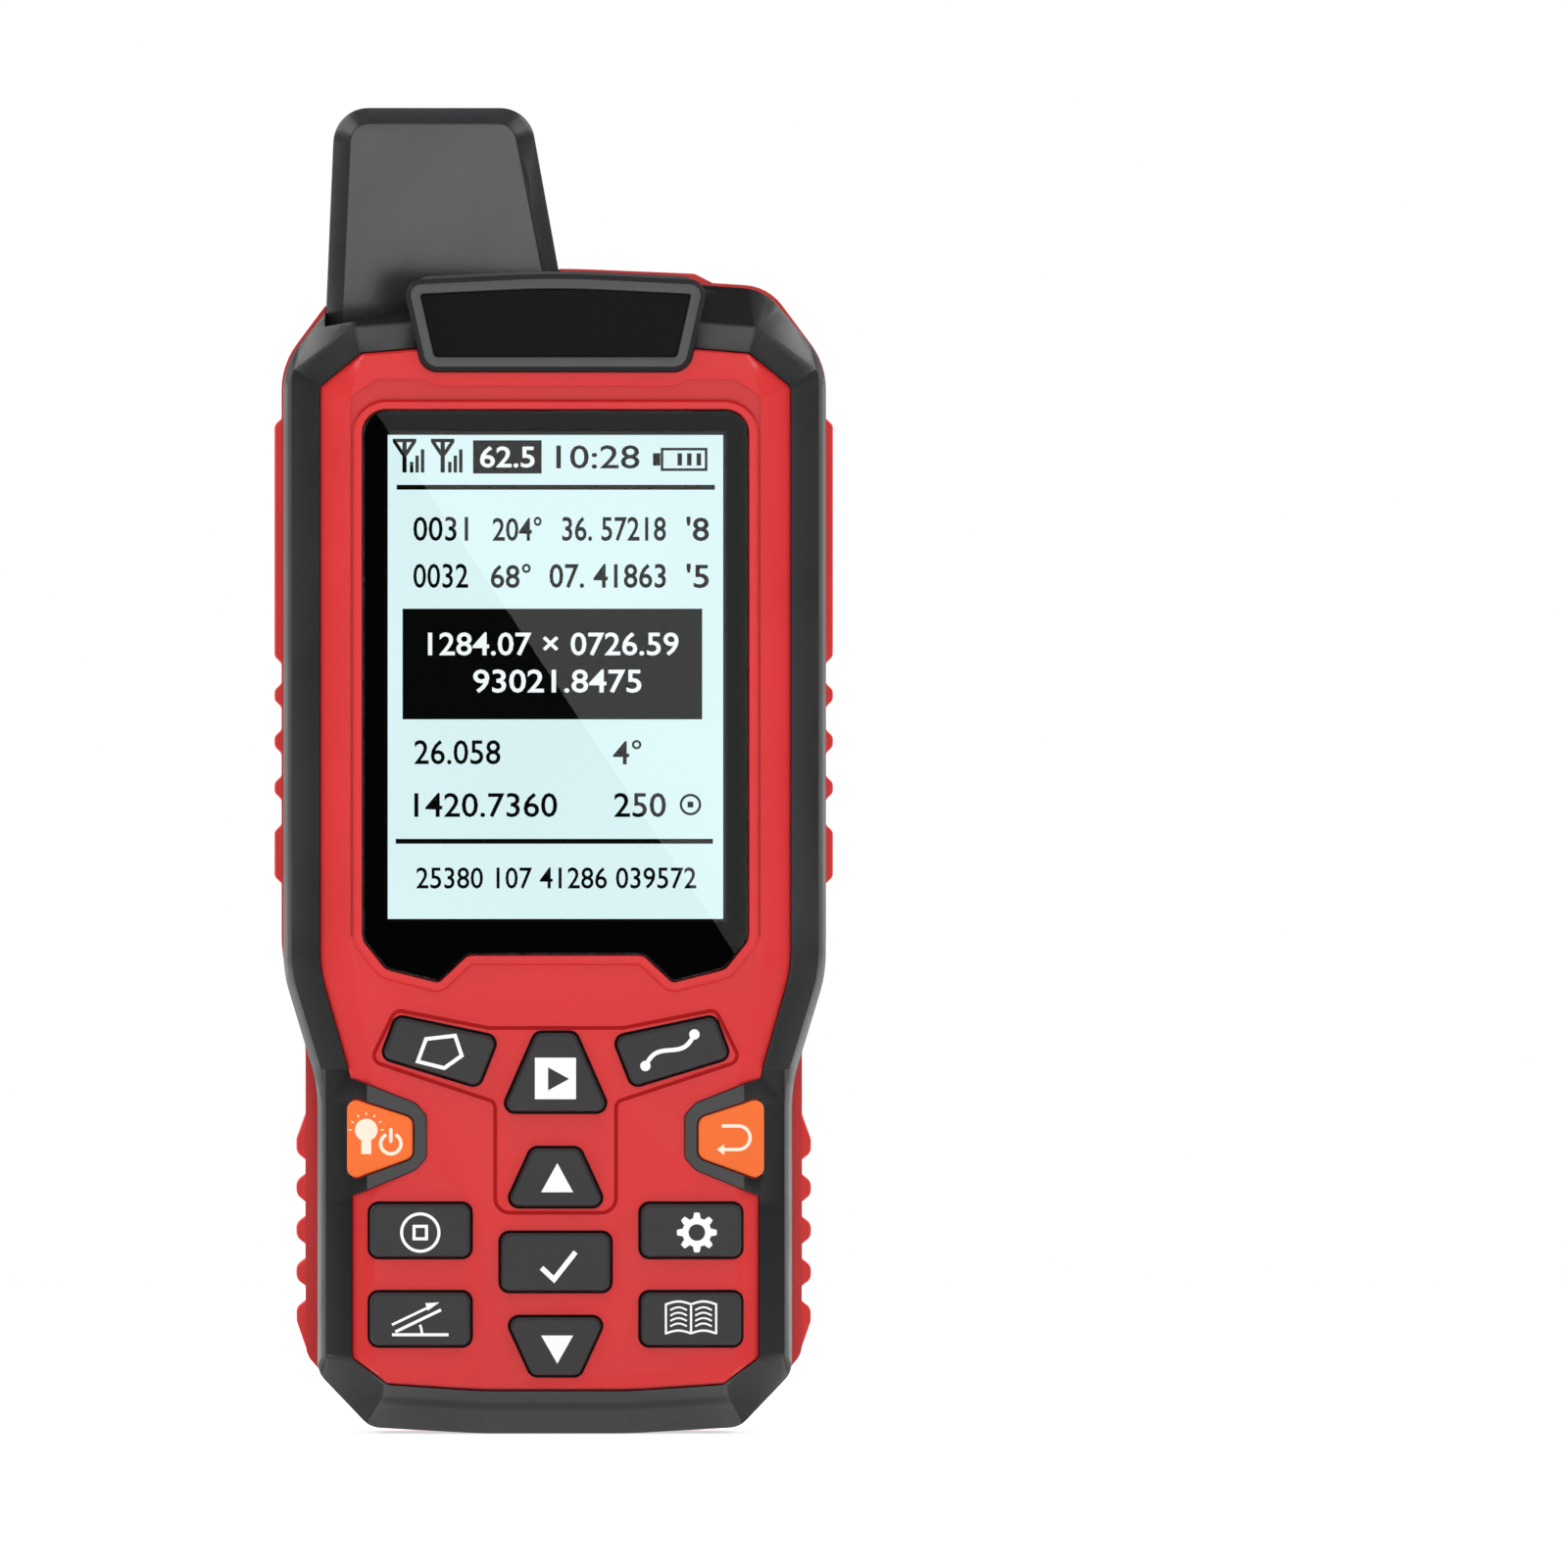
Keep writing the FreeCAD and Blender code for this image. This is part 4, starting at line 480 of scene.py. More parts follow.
RED = moulded("satin_red", "CE2A2B", 0.38, shine=0.28)
# The recess red is the skin painted a little darker as shade in the recess, and the line red is a painted
# shadow for the groove and the steps.
RECESS_SHADE_RED = moulded("recess_red_painted_shade", "C62B2A", 0.45, shine=0.32)
GROOVE_SHADOW_RED = moulded("shadow_line_red", "B01517", 0.6, shine=0.1)
# Painted light: the grips' red is lighter than the case red, to offset the shade that the frame throws on
# them.
LIT_GRIP_RED = moulded("grip_red_painted_light", "D73835", 0.55, shine=0.25, grain=0.5, depth=0.01)
SHADED_FRAME_GREY = dull_and_shade_frame_slopes(grained("frame_grey", "222223", 0.34), shine=0.58, dull=0.06,
                               crease=12.6, waist=54)
ANTENNA_GREY = dull_slopes(grained("antenna_grey", "29292B", 0.28), 0.8, 0.25)
HOOD_GREY = dull_slopes(grained("hood_grey", "272729", 0.36), 0.8, 0.05)
KEY_GREY = moulded("key_grey", "2A2A2C", 0.45, shine=0.32, grain=0.5)
KEY_ORANGE = moulded("key_orange", "EC6C2C", 0.45, shine=0.2)
BLACK_RUBBER = moulded("black_rubber", "1C1C1D", 0.7, shine=0.3, grain=0.5, depth=0.01)
WHITE_PRINT = moulded("white_print", "F4F4F2", 0.6, shine=0.1, depth=0.001, mottle=0.01)
PALE_PRINT = moulded("pale_print", "FBE3D0", 0.6, shine=0.1, depth=0.001, mottle=0.02)
print("materials so far:", len(bpy.data.materials))

# %% [markdown]
# Finished copies of the moulded shells
#
# A CAD mesh has knife-sharp edges, and nothing moulded has. The shells are complicated,
# with key holes, bosses and ribs, so the simplest faithful way is a copy of the node:
# its loose triangles are merged, flat triangles are joined into whole faces, and a Bevel
# modifier rounds every edge that is sharper than thirty degrees. The copy stands for
# the node and rides on the same body.

# %% Finished copies
WELD = 2e-6
FLAT = math.radians(0.3)
SHARP = math.radians(30)
BEVEL_STEPS = 3


def smooth(mesh):
    """Smooth shading on every face."""
    mesh.polygons.foreach_set("use_smooth", np.ones(len(mesh.polygons), bool))


def place_piece(name, mesh, material, body, replaces=()):
    """Links a finished mesh as a piece that rides on a body."""
    piece = link(name, mesh)
    mesh.materials.clear()
    mesh.materials.append(material)
    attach(piece, body)
    if replaces:
        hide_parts(*replaces)
    return piece


def finished(node, material, edge):
    """A merged copy of a CAD node whose edges are rounded to edge millimetres."""
    work = bmesh.new()
    work.from_mesh(NODES[node].data)
    bmesh.ops.remove_doubles(work, verts=work.verts, dist=WELD)
    bmesh.ops.dissolve_limit(work, angle_limit=FLAT, verts=work.verts, edges=work.edges)
    mesh = bpy.data.meshes.new(node + "_finished")
    work.to_mesh(mesh)
    work.free()
    smooth(mesh)
    piece = place_piece(node + "_finished", mesh, material, NODES[node]["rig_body"], [node])
    bevel = piece.modifiers.new("edges", "BEVEL")
    bevel.width = edge * MM
    bevel.segments = BEVEL_STEPS
    bevel.limit_method = "ANGLE"
    bevel.angle_limit = SHARP
    bevel.harden_normals = True
    print(node, "finished with", len(mesh.polygons), "faces")
    return piece


finished("frame_bumper", SHADED_FRAME_GREY, 0.35)
finished("rear_housing", RED, 0.3)
finished("battery_door", RED, 0.2)
finished("hood_bezel", HOOD_GREY, 0.12)
finished("antenna_front_shell", ANTENNA_GREY, 0.5)
finished("antenna_rear_shell", ANTENNA_GREY, 0.5)
finished("port_cover", BLACK_RUBBER, 0.2)
for grip in ("side_grip_right", "lower_grip_right", "side_grip_left", "lower_grip_left"):
    finished(grip, LIT_GRIP_RED, 0.25)

# %% [markdown]
# Red front housing
#
# The front shell has three reds: the plain skin, a floor in the shallow recess round
# the display that is a little rougher and painted a little darker as shade, and a
# painted shadow line in the fine groove round the upper keys and over the bead of the
# display. All are real steps in the mesh, so their faces are found by depth, height and
# direction and get their own material.

# %% Red front housing
FACET_FRONT = 16.0
RECESS = 0.25
RECESS_FOOT = 59.9
BEAD_CORNERS = 119.0
BEAD_SLOPE = 0.2
NEAR = 0.01
STEEP = 0.3
housing = finished("front_housing", RED, 0.15)
mesh = housing.data
mesh.materials.append(RECESS_SHADE_RED)
mesh.materials.append(GROOVE_SHADOW_RED)


def rows_of(items, what, width=3, kind=float):
    """A measure of every vertex, edge, corner or face of a mesh, width numbers a row."""
    values = np.empty(len(items) * width, kind)
    items.foreach_get(what, values)
    return values.reshape(-1, width)


centres, normals = rows_of(mesh.polygons, "center") / MM, rows_of(mesh.polygons, "normal")
behind_facet, height = FACET_FRONT + centres[:, 1], centres[:, 2]
index = np.zeros(len(centres), np.int32)
# Painted shade: recess floor faces round the display take the darker red, and the keypad groove's floor, the
# steep step walls and the upward faces over the bead take the painted shadow line.
at_floor = np.abs(behind_facet - RECESS) < NEAR
index[at_floor & (height > RECESS_FOOT)] = 1
index[at_floor & (height < RECESS_FOOT)] = 2
step = (behind_facet > NEAR) & (behind_facet < RECESS - NEAR)
index[step & (np.abs(normals[:, 1]) < STEEP)] = 2
index[(behind_facet < BEAD_SLOPE) & (height > BEAD_CORNERS) & (normals[:, 2] > STEEP)] = 2
mesh.polygons.foreach_set("material_index", index)
print("faces in the recess and in the groove:", (index == 1).sum(), (index == 2).sum())

# %% [markdown]
# Outlines read from the frame
#
# The keys, the glass and the hood plate are all made the same way: a profile is carried
# round an outline. The outline comes from the CAD node itself. Every edge of the node's
# mesh that passes through one depth is cut there, and the cuts are sorted by their angle
# about the middle, which works for any outline that its middle can see all of.

# %% Outlines
def cuts_at(node, front):
    """The places where the node's edges pass through one front value, in millimetres."""
    mesh = NODES[node].data
    points = rows_of(mesh.vertices, "co") / MM
    first, second = points[rows_of(mesh.edges, "vertices", 2, np.int32).T]
    above, below = -first[:, 1] - front, -second[:, 1] - front
    cuts = above * below < 0
    share = (above / np.where(cuts, above - below, 1))[cuts, None]
    flat = (first[cuts] + (second - first)[cuts] * share)[:, [0, 2]]
    return np.unique(np.round(flat, 4), axis=0)


def section(node, front):
    """The node's outline at one front value, anticlockwise, in millimetres."""
    flat = cuts_at(node, front)
    around = flat - (flat.min(0) + flat.max(0)) / 2
    flat = flat[np.argsort(np.arctan2(around[:, 1], around[:, 0]))]
    return without_straights(flat)


def without_straights(loop):
    """Drops the points of a loop at which it doesn't turn."""
    before = loop - np.roll(loop, 1, 0)
    after = np.roll(loop, -1, 0) - loop
    turn = before[:, 0] * after[:, 1] - before[:, 1] * after[:, 0]
    size = np.linalg.norm(before, axis=1) * np.linalg.norm(after, axis=1)
    return loop[np.abs(turn) > 0.004 * size]


def normals_of(loop, closed=True):
    """Mitre vectors: they point out of an anticlockwise loop and move its sides by one unit."""
    before = loop - np.roll(loop, 1, 0)
    after = np.roll(loop, -1, 0) - loop
    if not closed:
        before[0] = after[0]
        after[-1] = before[-1]
    before = before / np.linalg.norm(before, axis=1)[:, None]
    after = after / np.linalg.norm(after, axis=1)[:, None]
    first = np.column_stack([before[:, 1], -before[:, 0]])
    second = np.column_stack([after[:, 1], -after[:, 0]])
    return (first + second) / (1 + (first * second).sum(1))[:, None]


def raised(flat, front):
    """Puts flat (x, z) points in millimetres at a front value, as points in metres."""
    return np.column_stack([flat[:, 0], np.broadcast_to(-front, len(flat)), flat[:, 1]]) * MM


FLAT_RIM = 0.04


def stacked(name, loop, profile):
    """A closed mesh: the loop drawn in by each profile step and set at its front value, back to front.

    Point i of ring k is loop[i] - inset[k] * mitre[i], at front[k]. Neighbouring rings are
    joined by four-sided faces, and the first and last ring are closed by one face each.
    Both ends get one more ring a hair further in, so that the flat ends stay flat to light.
    """
    (first_inset, first_front), (last_inset, last_front) = profile[0], profile[-1]
    profile = [(first_inset + FLAT_RIM, first_front), *profile, (last_inset + FLAT_RIM, last_front)]
    mitre = normals_of(loop)
    rings = [raised(loop - mitre * inset, np.float64(front)) for inset, front in profile]
    count = len(loop)
    here = np.arange(count)
    ahead = (here + 1) % count
    faces = [here[::-1].tolist()]
    for level in range(len(rings) - 1):
        low, high = level * count, (level + 1) * count
        faces += np.column_stack([low + here, low + ahead, high + ahead, high + here]).tolist()
    faces.append((here + (len(rings) - 1) * count).tolist())
    mesh = bpy.data.meshes.new(name)
    mesh.from_pydata(np.concatenate(rings).tolist(), [], faces)
    smooth(mesh)
    mesh.set_sharp_from_angle(angle=SHARP)
    return mesh


def rounded_edge(front, radius, steps=5):
    """Profile steps of a quarter round that ends at a front value: inset r(1 - cos a), depth r(1 - sin a)."""
    angles = np.linspace(0, math.pi / 2, steps)
    return [(radius * (1 - math.cos(a)), front - radius * (1 - math.sin(a))) for a in angles]


KEY_FRONT = front_of("up_key")
WALL_BELOW_FACE = 1.2
print("the up key's outline has", len(section("up_key", KEY_FRONT - WALL_BELOW_FACE)), "corners")

# %% [markdown]
# Keycaps
#
# Each keycap is a shallow block with softly rounded edges and a thin flange that stops
# it from falling out. A sculpted block would do, but a profile carried round the key's
# own outline is exact: the flange, the drafted wall and a quarter round at the top.
# The two orange keys slope down towards the sides and their outlines are uneven, so they
# are rounded copies of their nodes.

# %% Keycaps
KEYS = ["area", "path", "start", "up", "ok", "down", "price", "settings", "slope", "records"]
KEY_EDGE = 0.42
DRAFT = 0.12
FLANGE = 0.5
FLANGE_THICK = 0.6
for key in KEYS:
    node = key + "_key"
    back = back_of(node)
    tab = back + FLANGE_THICK
    outline = section(node, KEY_FRONT - WALL_BELOW_FACE)
    draft = [(DRAFT + inset, front) for inset, front in rounded_edge(KEY_FRONT, KEY_EDGE)]
    profile = [(-FLANGE, back), (-FLANGE, tab), (0, tab)] + draft
    mesh = stacked(node + "_cap", outline, profile)
    place_piece(node + "_cap", mesh, KEY_GREY, NODES[node]["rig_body"], [node])
for node in ("power_key", "back_key"):
    finished(node, KEY_ORANGE, 0.15)
print("keycaps made:", len(KEYS))

# %% [markdown]
# Display
#
# Behind the glass lies a black print with a window in it, and behind that the display.
# The display is backlit, so its face is a shader that glows with the colour of the
# picture, and the marks on it are thin dark shapes. The glass is a real plate with
# polished edges. Its print is a flat ring between two outlines, worked out by angle:
# both outlines are read at the same directions from the middle, and quads join them.

# %% Glass and print
GLASS_FRONT = front_of("display_window")
GLASS_BACK = back_of("display_window")
GLASS_EDGE = 0.15
GLASS_CHAMFER = 0.1
VIEW_HALF = 20.2
VIEW_FOOT = 62.1
VIEW_TOP = 120.4


def clear_glass(name, ior):
    """Clear glass with a very faint waviness."""
    made = Finish(name).set(Base_Color=(1, 1, 1, 1), Roughness=0.0, Transmission_Weight=1.0, IOR=ior)
    made.bump(made.noise(25), 0.0005)
    return made.material


def gloss(name, colour, rough, shine):
    """A polished opaque surface with hairline scratches in its roughness."""
    made = Finish(name).set(Base_Color=linear(colour), Specular_IOR_Level=shine)
    scratches = made.noise(1.5, detail=6.0)
    made.feed("Roughness", made.spread(scratches, rough, rough + 0.04, 0.45, 0.75))
    return made.material


def box_loop(left, right, foot, top):
    """A rectangle as an anticlockwise loop."""
    return np.array([(right, foot), (right, top), (left, top), (left, foot)], float)


def reach(loop, middle, angles):
    """How far the loop lies from the middle at each angle, by crossing a ray with every side."""
    start = loop - middle
    side = np.roll(start, -1, 0) - start
    ray = np.column_stack([np.cos(angles), np.sin(angles)])
    cross = ray[:, None, 0] * side[None, :, 1] - ray[:, None, 1] * side[None, :, 0]
    cross = np.where(np.abs(cross) < 1e-12, 1e-12, cross)
    far = (start[None, :, 0] * side[None, :, 1] - start[None, :, 1] * side[None, :, 0]) / cross
    along = (start[None, :, 0] * ray[:, None, 1] - start[None, :, 1] * ray[:, None, 0]) / cross
    hit = (far > 0) & (along > -1e-9) & (along < 1 + 1e-9)
    return np.where(hit, far, 0).max(1)


def between(outer, inner):
    """A flat ring between two loops, as (points, faces)."""
    middle = (inner.min(0) + inner.max(0)) / 2
    corners = np.concatenate([outer, inner]) - middle
    angles = np.unique(np.round(np.arctan2(corners[:, 1], corners[:, 0]), 6))
    ray = np.column_stack([np.cos(angles), np.sin(angles)])
    rings = [middle + ray * reach(loop, middle, angles)[:, None] for loop in (inner, outer)]
    count = len(angles)
    here = np.arange(count)
    ahead = (here + 1) % count
    return np.concatenate(rings), np.column_stack([here, here + count, ahead + count, ahead]).tolist()


GLASS = clear_glass("window_glass", 1.27)
BLACK_PRINT = gloss("black_print", "020202", 0.3, 0.0)
outline = section("display_window", (GLASS_FRONT + GLASS_BACK) / 2)
profile = [(GLASS_CHAMFER, GLASS_BACK), (0, GLASS_BACK + GLASS_CHAMFER)]
mesh = stacked("window_glass", outline, profile + rounded_edge(GLASS_FRONT, GLASS_EDGE, 3))
place_piece("window_glass", mesh, GLASS, "case", ["display_window"])
print("the glass is", round(GLASS_FRONT - GLASS_BACK, 2), "thick and has", len(outline), "corners")

# %% [markdown]
# Flat marks
#
# Legends, pictograms and the picture on the display are flat shapes with a hair's
# thickness. A shape is a list of flat points and faces. Lines are strips whose corners
# are mitred, rings are closed strips, digits come from a text object that is turned into
# a mesh, and a Solidify modifier gives the finished piece its thickness.

# %% Flat shapes
def line(points, width, closed=False, soft=False):
    """A line of even width: each point moves half a width to both sides along its mitre."""
    points = np.asarray(points, float)
    mitre = normals_of(points, closed) * width / 2
    count = len(points)
    here = np.arange(count if closed else count - 1)
    ahead = (here + 1) % count
    flat = np.concatenate([points + mitre, points - mitre])
    faces = np.column_stack([here, ahead, ahead + count, here + count]).tolist()
    shape = [(flat, faces)]
    if soft:
        for end, inner in ((0, 1), (-1, -2)):
            away = points[end] - points[inner]
            turn = math.degrees(math.atan2(away[1], away[0]))
            shape += patch(arc(points[end], width / 2, turn - 90, turn + 90, 8))
    return shape


def arc(middle, radius, start, end, steps=24):
    """Points on an arc, angles in degrees."""
    angles = np.radians(np.linspace(start, end, steps + 1))
    return np.asarray(middle) + radius * np.column_stack([np.cos(angles), np.sin(angles)])


def circle_loop(middle, radius, steps=32):
    """A circle as an anticlockwise loop."""
    return arc(middle, radius, 0, 360 * (steps - 1) / steps, steps - 1)


def patch(points):
    """A filled outline, given anticlockwise, as one face."""
    points = np.asarray(points, float)
    return [(points, [list(range(len(points)))])]


def disc(middle, radius):
    """A filled disc."""
    return patch(circle_loop(middle, radius))


def ring(middle, radius, width):
    """A circle drawn with a line."""
    return line(circle_loop(middle, radius, 40), width, closed=True)


def bar(left, right, foot, top):
    """A filled rectangle."""
    return patch(box_loop(left, right, foot, top))


HAIR = 0.002
LAYERS = 8


def marks(name, shapes, surface, material, body, lift=0.03, thick=0.05):
    """One piece from flat shapes that lie lift millimetres above a surface, thick millimetres deep.

    surface is a front value, or a function that gives the front value of flat points.
    Shapes may overlap, so each lies a hair above the one before it.
    """
    points, faces, first = [], [], 0
    for number, (flat, parts) in enumerate(shapes):
        level = surface(flat) if callable(surface) else np.full(len(flat), surface)
        height = level + lift + HAIR * (number % LAYERS)
        points.append(np.column_stack([flat[:, 0], -height, flat[:, 1]]) * MM)
        faces += [[first + corner for corner in part] for part in parts]
        first += len(flat)
    mesh = bpy.data.meshes.new(name)
    mesh.from_pydata(np.concatenate(points).tolist(), [], faces)
    work = bmesh.new()
    work.from_mesh(mesh)
    bmesh.ops.remove_doubles(work, verts=work.verts, dist=WELD / 2)
    turned = [face for face in work.faces if face.normal.y > 0]
    bmesh.ops.reverse_faces(work, faces=turned)
    work.to_mesh(mesh)
    work.free()
    piece = place_piece(name, mesh, material, body)
    solid = piece.modifiers.new("thickness", "SOLIDIFY")
    solid.thickness = thick * MM
    solid.offset = -1.0
    print(name, "has", len(shapes), "shapes")


print_ring = [between(outline, box_loop(-VIEW_HALF, VIEW_HALF, VIEW_FOOT, VIEW_TOP))]
marks("window_print", print_ring, GLASS_BACK, BLACK_PRINT, "case", lift=-0.02, thick=0.06)

# %% [markdown]
# The seal of the antenna
#
# The antenna's two shells meet in a seam with a hair of clearance, and against the
# light one could look through it. A flat rubber seal lies in it, a little inside the
# skin. The shells are hollow, so the outline is the convex hull of one shell's cuts.

# %% Seal in the antenna's seam
SEAL_OUTSIDE = 0.4
SEAL_INSIDE = 1.1
SEAL_LIFT = 0.15
SEAL_THICK = 0.4
seam = back_of("antenna_front_shell")
flat = cuts_at("antenna_rear_shell", seam - 1)
skin = without_straights(flat[convex_hull_2d(flat.tolist())])
outwards = normals_of(skin)
seal = [between(skin - outwards * SEAL_OUTSIDE, skin - outwards * SEAL_INSIDE)]
marks("antenna_seal", seal, seam, BLACK_RUBBER, "case", SEAL_LIFT, SEAL_THICK)
print("the antenna's seam lies at front", round(seam, 2), "and the seal has", len(skin), "corners")

# %% [markdown]
# The picture on the display
#
# The panel shows two signal signs, a clock, a battery, rows of plain numbers and a dark
# bar. A text object could place its digits by letter widths, but each row here is given
# by its first and last column and its foot row in the photograph, so it lands exactly
# where the original's row stands.

# %% Display face
LCD_FRONT = front_of("lcd_panel")


def backlit(name, colour):
    """A glowing panel that is a little uneven, as a backlight is."""
    made = Finish(name).set(Base_Color=(0, 0, 0, 1), Roughness=0.6, Specular_IOR_Level=0.0,
                            Emission_Strength=1.0)
    made.mottle("Emission Color", made.noise(30, detail=1.0), colour, 0.03)
    return made.material


LCD_LIGHT = backlit("lcd_light", "DCF6F8")
LCD_DARK = gloss("lcd_dark", "020303", 0.6, 0.0)
LCD_PALE = backlit("lcd_pale", "F4FEFE")
NODES["lcd_panel"].data.materials.clear()
NODES["lcd_panel"].data.materials.append(LCD_LIGHT)

RULES = ((405, 730, 497), (404, 728, 858.5))
RULE_HALF = 2.5
DARK_BARS = ((411, 717, 621, 734), (483, 553, 449, 483))
BATTERY = (676, 721, 458, 479)
SIGNALS = (401, 440)
SIGNAL_TOP = 447.5
SIGNAL_FOOT = 482


def digits(text, left, right, foot, height, bold):
    """Digits from a text object, scaled to fill the columns from left to right and to stand on foot."""
    data = bpy.data.curves.new("digits", "FONT")
    data.body = text
    data.offset = bold
    data.resolution_u = 3
    writer = link("digits", data)
    bpy.context.view_layer.update()
    mesh = bpy.data.meshes.new_from_object(writer)
    flat = rows_of(mesh.vertices, "co")[:, :2]
    faces = [list(face.vertices) for face in mesh.polygons]
    bpy.data.objects.remove(writer)
    bpy.data.meshes.remove(mesh)
    size = np.array([right - left, height]) * PIXEL
    return [((flat - flat.min(0)) * size / np.ptp(flat, axis=0) + spot(left, foot), faces)]


def photo_bar(left, right, top, foot):
    """A filled rectangle between columns and rows of the photograph."""
    low, high = spot(left, foot), spot(right, top)
    return bar(low[0], high[0], low[1], high[1])


def signal_sign(left):
    """An aerial with its crossbars and three growing bars beside it."""
    low, high = spot(left, SIGNAL_FOOT), spot(left + 24, SIGNAL_TOP)
    middle = (low[0] + high[0]) / 2
    top = high[1]
    neck = top - 1.9
    shapes = line([(low[0], top - 0.2), (high[0], top - 0.2)], 0.42)
    shapes += line([(low[0] + 0.2, top - 0.3), (middle - 0.15, neck)], 0.44)
    shapes += line([(high[0] - 0.2, top - 0.3), (middle + 0.15, neck)], 0.44)
    shapes += bar(middle - 0.26, middle + 0.26, low[1], top - 0.3)
    for number in range(3):
        start = middle + 0.65 + 0.66 * number
        shapes += bar(start, start + 0.42, low[1], low[1] + 1.3 + 0.75 * number)
    return shapes


def battery_sign(left, right, top, foot):
    """A battery outline with its pole on the left and three bars of charge on the right."""
    low, high = spot(left, foot), spot(right, top)
    middle = (low[1] + high[1]) / 2
    shapes = line(box_loop(low[0], high[0], low[1], high[1]), 0.32, closed=True)
    shapes += bar(low[0] - 1.1, low[0] - 0.2, middle - 0.75, middle + 0.75)
    for number in range(3):
        right = high[0] - 0.6 - 1.15 * number
        shapes += bar(right - 0.55, right, low[1] + 0.5, high[1] - 0.5)
    return shapes


DARK_ROWS = (
    ("10:28", 568, 653, 478, 24, 0.006),
    ("0031", 422, 478, 552, 25, 0.008),
    ("204°", 503, 553, 552, 25, 0.012),
    ("36. 57218", 574, 680, 552, 25, 0.012),
    ("'8", 701, 724, 552, 25, 0.012),
    ("0032", 422, 478, 600, 25, 0.008),
    ("68°", 501, 542, 600, 25, 0.012),
    ("07. 41863", 561, 680, 600, 25, 0.012),
    ("'5", 701, 724, 600, 25, 0.012),
    ("26.058", 423, 511, 780, 25, 0.008),
    ("4°", 626, 655, 780, 25, 0.008),
    ("1420.7360", 423, 569, 834, 25, 0.008),
    ("250", 627, 680, 834, 25, 0.008),
    ("25380 107 41286 039572", 425, 711, 907, 22, 0.008),
)
PALE_ROWS = (
    ("62.5", 490, 546, 477, 22, 0.015),
    ("1284.07 × 0726.59", 437, 693, 669, 24, 0.012),
    ("93021.8475", 483, 655, 707, 24, 0.012),
)
dark, pale = [], []
for left, right, row in RULES:
    dark += photo_bar(left, right, row - RULE_HALF, row + RULE_HALF)
for sides in DARK_BARS:
    dark += photo_bar(*sides)
for left in SIGNALS:
    dark += signal_sign(left)
dark += battery_sign(*BATTERY)
for entry in DARK_ROWS:
    dark += digits(*entry)
for entry in PALE_ROWS:
    pale += digits(*entry)
target_sign = spot(705, 821)
dark += ring(target_sign, 1.15, 0.3)
dark += bar(target_sign[0] - 0.35, target_sign[0] + 0.35, target_sign[1] - 0.35, target_sign[1] + 0.35)
marks("lcd_dark_marks", dark, LCD_FRONT, LCD_DARK, "case", lift=0.04, thick=0.03)
marks("lcd_pale_marks", pale, LCD_FRONT, LCD_PALE, "case", lift=0.08, thick=0.03)

# %% [markdown]
# Key legends
#
# The legends are pictograms in white print. Curve objects could draw them, and would
# have to be made meshes afterwards. Strips and outlines worked out in code are meshes at
# once. Each is drawn in millimetres about the middle of its key, so it stays on the key
# if the key is moved in the CAD model. The orange keys slope, so their marks follow a
# straight line that is fitted to the face.

# %% Legends
def gear(middle, inside, outside, teeth, steps=6):
    """A gear's outline: the radius is a cosine over the angle, cut off flat at both ends."""
    angles = np.linspace(0, 2 * math.pi, teeth * steps * 2, endpoint=False)
    radius = inside + (outside - inside) * np.clip(3 * np.cos(angles * teeth) + 0.5, 0, 1)
    return np.asarray(middle) + radius[:, None] * np.column_stack([np.cos(angles), np.sin(angles)])


def s_curve(start, end, steps=20):
    """A path between two points that swings to both sides: a straight run plus one sine wave."""
    share = np.linspace(0, 1, steps + 1)[:, None]
    run = np.asarray(end) - np.asarray(start)
    across = np.array([-run[1], run[0]]) / np.linalg.norm(run)
    return np.asarray(start) + run * share + across * 0.62 * np.sin(2 * math.pi * share)


def area_sign():
    """A five-sided plot of land."""
    plot = np.array([(-2.6, -1.2), (0.6, -2.0), (2.7, -0.5), (1.9, 1.9), (-1.6, 1.5)])
    return line(plot, 0.45, closed=True)


def path_sign():
    """A winding path between two dots."""
    start, end = np.array([-3.2, -1.75]), np.array([2.7, 2.05])
    return line(s_curve(start, end), 0.52) + disc(start, 0.62) + disc(end, 0.62)


def start_sign():
    """A white square with a triangle cut out of it."""
    square = box_loop(-2.5, 2.45, -3.25, 1.75)
    triangle = np.array([(-0.92, -2.2), (1.63, -0.8), (-0.92, 0.6)])
    return [between(square, triangle)]


def price_sign():
    """A coin with a square hole."""
    return ring((0, -0.25), 2.25, 0.36) + line(box_loop(-0.75, 0.75, -1.0, 0.5), 0.36, closed=True)


def slope_sign():
    """An angle over its base line, and an arrow that climbs beside it."""
    shapes = line([(-3.4, -1.9), (3.4, -1.9)], 0.36)
    shapes += line([(-3.0, -1.55), (2.5, 1.1)], 0.36)
    shapes += line([(-3.4, -0.7), (1.2, 1.5)], 0.3)
    shapes += patch([(0.9, 1.0), (2.3, 2.0), (0.6, 1.9)])
    return shapes + line(arc((-3.0, -1.9), 3.2, 3, 22, 6), 0.3)


def records_sign():
    """An open book with lines of writing."""
    shapes = []
    for side in (-1, 1):
        share = np.linspace(0, 1, 9)
        rise = 0.35 * np.sin(math.pi * share)
        for level in (1.75, 1.05, 0.4, -0.25, -0.9, -1.75):
            edge = level in (1.75, -1.75)
            inner, outer = (0.0, 3.0) if edge else (0.5, 2.5)
            curve = np.column_stack([side * (inner + (outer - inner) * share), level + rise])
            shapes += line(curve if side > 0 else curve[::-1], 0.26 if edge else 0.22)
        shapes += bar(*sorted((side * 2.9, side * 3.15)), -1.85, 1.85)
    return shapes + bar(-0.13, 0.13, -1.6, 1.6)


